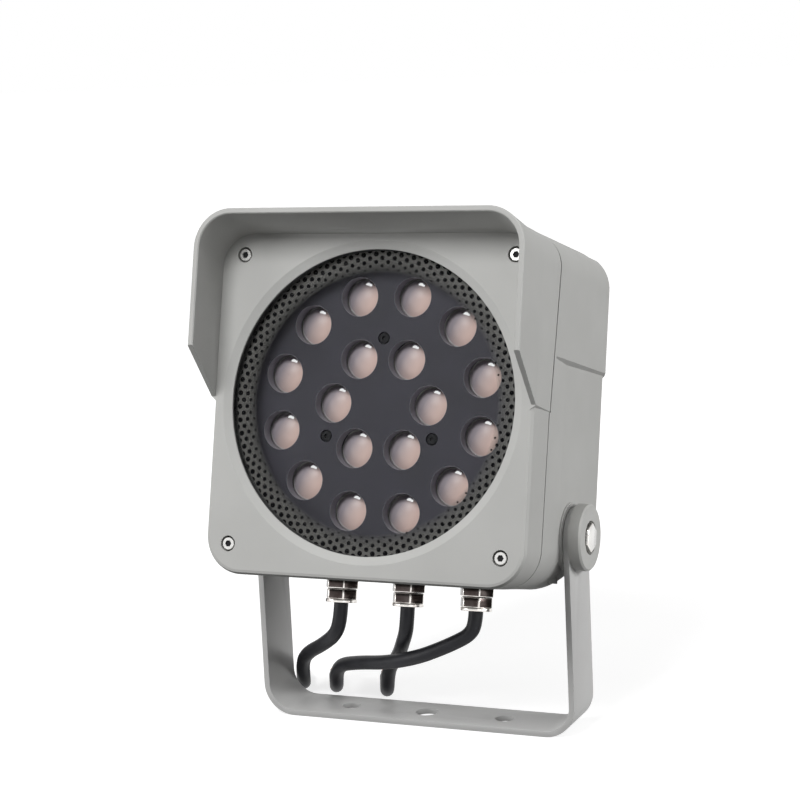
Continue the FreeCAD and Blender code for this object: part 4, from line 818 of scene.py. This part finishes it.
# %% Finish of the grey tint
TINT_CLEAR, TINT_DENSE = 86 * MM, 98 * MM
tint_grey, shader = finish("glass_tint", (0.09, 0.086, 0.08), 0.6)
tint(tint_grey, shader, noise_on(tint_grey, 200, 2), (0.085, 0.081, 0.075), (0.095, 0.091, 0.085))
nodes, links = tint_grey.node_tree.nodes, tint_grey.node_tree.links
tint_place = nodes.new("ShaderNodeTexCoord")
tint_offset = nodes.new("ShaderNodeVectorMath")
tint_offset.operation = "SUBTRACT"
tint_offset.inputs[1].default_value = HEAD @ Vector((0, PRINT_DEPTH, OPTIC_HEIGHT))
tint_cross = nodes.new("ShaderNodeVectorMath")
tint_cross.operation = "CROSS_PRODUCT"
tint_cross.inputs[1].default_value = HEAD.to_3x3() @ Vector((0, 1, 0))
tint_reach = nodes.new("ShaderNodeVectorMath")
tint_reach.operation = "LENGTH"
tint_fade = nodes.new("ShaderNodeMapRange")
tint_fade.inputs["From Min"].default_value = TINT_CLEAR
tint_fade.inputs["From Max"].default_value = TINT_DENSE
links.new(tint_place.outputs["Object"], tint_offset.inputs[0])
links.new(tint_offset.outputs["Vector"], tint_cross.inputs[0])
links.new(tint_cross.outputs["Vector"], tint_reach.inputs[0])
links.new(tint_reach.outputs["Value"], tint_fade.inputs["Value"])
links.new(tint_fade.outputs["Result"], shader.inputs["Alpha"])
print("tint fades in from", round(TINT_CLEAR, 3), "to", round(TINT_DENSE, 3))

# %% Grey tint under the dots
TINT_WIDTH, TINT_BEHIND = 18 * MM, 0.1 * MM
glass_tint = settled(flat_ring(PRINT_RADIUS, TINT_WIDTH, PRINT_DEPTH + TINT_BEHIND, RING_INK), "glass_tint",
                     tint_grey)
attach(glass_tint, "head")
print("tint ring faces:", len(glass_tint.data.polygons))

# %% [markdown]
# ## Rims, painted glints and painted shade of the lenses
# Each lens is moulded with a clear rim, which shows as a pale line round its lower left. At the top, a small bright
# oval is a painted glint, and a small dark oval under it is painted shade. Light bent by a clear lens would make
# both.
# A path tracer needs very many rays to find such a glint, though, so they are small pieces of their own. The wall of
# the well round each lens is lined, and the lining is paler than the plate: it is painted light on a wall that is in
# the shade. All eighteen lenses are alike, so one set is modelled round the middle of the plate and copied to every
# lens.

# %% One lens rim
LENS_RIM_PLACE, LENS_RIM_RADIUS, LENS_RIM_THICK = -66.9 * MM, 12.45 * MM, 0.42 * MM
LENS_RIM_FLATNESS = 0.7
bpy.ops.object.select_all(action="DESELECT")
bpy.ops.mesh.primitive_torus_add(major_segments=40, minor_segments=6, major_radius=LENS_RIM_RADIUS,
                                 minor_radius=LENS_RIM_THICK, location=(0, LENS_RIM_PLACE, OPTIC_HEIGHT),
                                 rotation=(TO_FRONT, 0, 0))
bpy.ops.object.mode_set(mode="EDIT")
bpy.ops.mesh.select_all(action="SELECT")
bpy.ops.transform.resize(value=(1, LENS_RIM_FLATNESS, 1))
bpy.ops.object.mode_set(mode="OBJECT")
rim = settled(bpy.context.object, "lens_rim", lens_edge)
only(rim)
bpy.ops.object.shade_smooth()
print("rim radius:", round(rim.dimensions.x / 2, 4))


# %% One painted glint and the painted shade under it
CROWN_HEIGHT, CROWN_WIDTH = 0.25 * MM, 0.7


def painted_oval(name, across, up, depth, width, height, skin):
    """A small front-facing oval in millimetres, with a low crown narrower than its foot, for painted glints and
    shade.
    """
    bpy.ops.object.select_all(action="DESELECT")
    bpy.ops.mesh.primitive_circle_add(vertices=20, radius=0.5, fill_type="NGON", rotation=(TO_FRONT, 0, 0),
                                      location=(across * MM, depth * MM, OPTIC_HEIGHT + up * MM))
    oval = bpy.context.object
    only(oval)
    oval.scale = (width * MM, height * MM, 1)
    bpy.ops.object.transform_apply(location=True, rotation=True, scale=True)
    bpy.ops.object.mode_set(mode="EDIT")
    bpy.ops.mesh.select_all(action="SELECT")
    bpy.ops.mesh.extrude_region_move(TRANSFORM_OT_translate={"value": (0, -CROWN_HEIGHT, 0)})
    bpy.ops.transform.resize(value=(CROWN_WIDTH, 1, CROWN_WIDTH))
    bpy.ops.mesh.select_all(action="SELECT")
    bpy.ops.mesh.normals_make_consistent(inside=False)
    bpy.ops.object.mode_set(mode="OBJECT")
    return settled(oval, name, skin)


# A painted glint near the top of each lens.
painted_glint = painted_oval("lens_painted_glint", across=2.3, up=9.0, depth=-69.1, width=5.4, height=4.2, skin=glint_painted_highlight)
# Painted shade: a small dark oval just under the glint, in near-black steel.
painted_shade_notch = painted_oval("lens_painted_shade", across=1.9, up=6.9, depth=-69.5, width=4.2, height=1.6, skin=dark_steel)
print("glint faces:", len(painted_glint.data.polygons))

# %% Painted light on the wall of one well
WELL_RADIUS, WELL_DEPTH, WELL_MIDDLE = 13.25 * MM, 8.8 * MM, -72.5 * MM
LINING = 0.12 * MM
bpy.ops.object.select_all(action="DESELECT")
bpy.ops.mesh.primitive_cylinder_add(vertices=40, radius=WELL_RADIUS, depth=WELL_DEPTH, end_fill_type="NOTHING",
                                    location=(0, WELL_MIDDLE, OPTIC_HEIGHT), rotation=(TO_FRONT, 0, 0))
lining = settled(bpy.context.object, "well_lining_painted_light", well_wall_painted_light)
walls = lining.modifiers.new("walls", "SOLIDIFY")
walls.thickness = LINING
bpy.ops.object.modifier_apply(modifier="walls")
bpy.ops.object.shade_smooth_by_angle(angle=math.radians(35))
lens_set = merged("lens_set", [rim, painted_glint, painted_shade_notch, lining])
print("finishes of one lens set:", [skin.name for skin in lens_set.data.materials])

# %% Copies on every lens
# For each ring of lenses: its diameter in millimetres, how many lenses, and the angle of the first in degrees.
LENS_RINGS = ((147.6, 12, 15), (68.6, 6, 0))
lens_sets = []
for ring, count, first in LENS_RINGS:
    for k in range(count):
        turn = math.radians(first + 360 / count * k)
        shift = HEAD.to_3x3() @ Vector((ring / 2 * MM * math.cos(turn), 0, ring / 2 * MM * math.sin(turn)))
        copy = bpy.data.objects.new("lens_set_copy", lens_set.data.copy())
        copy.data.transform(Matrix.Translation(shift))
        bpy.context.scene.collection.objects.link(copy)
        lens_sets.append(copy)
bpy.data.objects.remove(lens_set)
lens_rims_painted_light_and_shade = merged("lens_rims_painted_light_and_shade", lens_sets)
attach(lens_rims_painted_light_and_shade, "head")
print("lens sets:", len(lens_sets), "faces:", len(lens_rims_painted_light_and_shade.data.polygons))

# %% [markdown]
# ## Screws
# The corner screws are socket screws. Their sockets are deep, so they look black. Shadow alone would leave the
# bright steel in them grey, so a small black hexagon at the bottom of each socket is painted shade. The pivot bolts
# shine in the recess of their discs. A copy of them gets bevelled edges, and the bevels take a brighter finish,
# which is a painted highlight along the edges.

# %% Painted shade in the sockets of the corner screws
CORNER_REACH = 97 * MM
PLUG_RADIUS, PLUG_DEPTH, PLUG_PLACE, PLUG_EDGE = 2.2 * MM, 1.4 * MM, -93.6 * MM, 0.15 * MM
# Painted shade: a black hexagon at the bottom of each socket, where there is only shade.
plugs = []
for across in (-CORNER_REACH, CORNER_REACH):
    for up in (-CORNER_REACH, CORNER_REACH):
        bpy.ops.object.select_all(action="DESELECT")
        bpy.ops.mesh.primitive_cylinder_add(vertices=6, radius=PLUG_RADIUS, depth=PLUG_DEPTH,
                                            location=(across, PLUG_PLACE, OPTIC_HEIGHT + up),
                                            rotation=(TO_FRONT, 0, 0))
        plug = bpy.context.object
        bpy.ops.object.mode_set(mode="EDIT")
        bpy.ops.mesh.select_all(action="SELECT")
        bpy.ops.mesh.bevel(offset=PLUG_EDGE, segments=1)
        bpy.ops.object.mode_set(mode="OBJECT")
        plugs.append(plug)
socket_painted_shades = settled(merged("socket_painted_shades", plugs), "socket_painted_shades", dark_steel)
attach(socket_painted_shades, "head")
print("socket plugs:", len(plugs))

# %% Pivot bolts with painted highlights on their edges
bolts = merged_copy("pivot_bolts", "pivot_bolts_painted_highlight")
bolts.data.materials.clear()
bolts.data.materials.append(steel)
bolts.data.materials.append(nickel_painted_highlight)
rounded(bolts, width=0.6 * MM, steps=2, edge_slot=1)
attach(bolts, "head")
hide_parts("pivot_bolts")
print("bolt faces:", len(bolts.data.polygons))
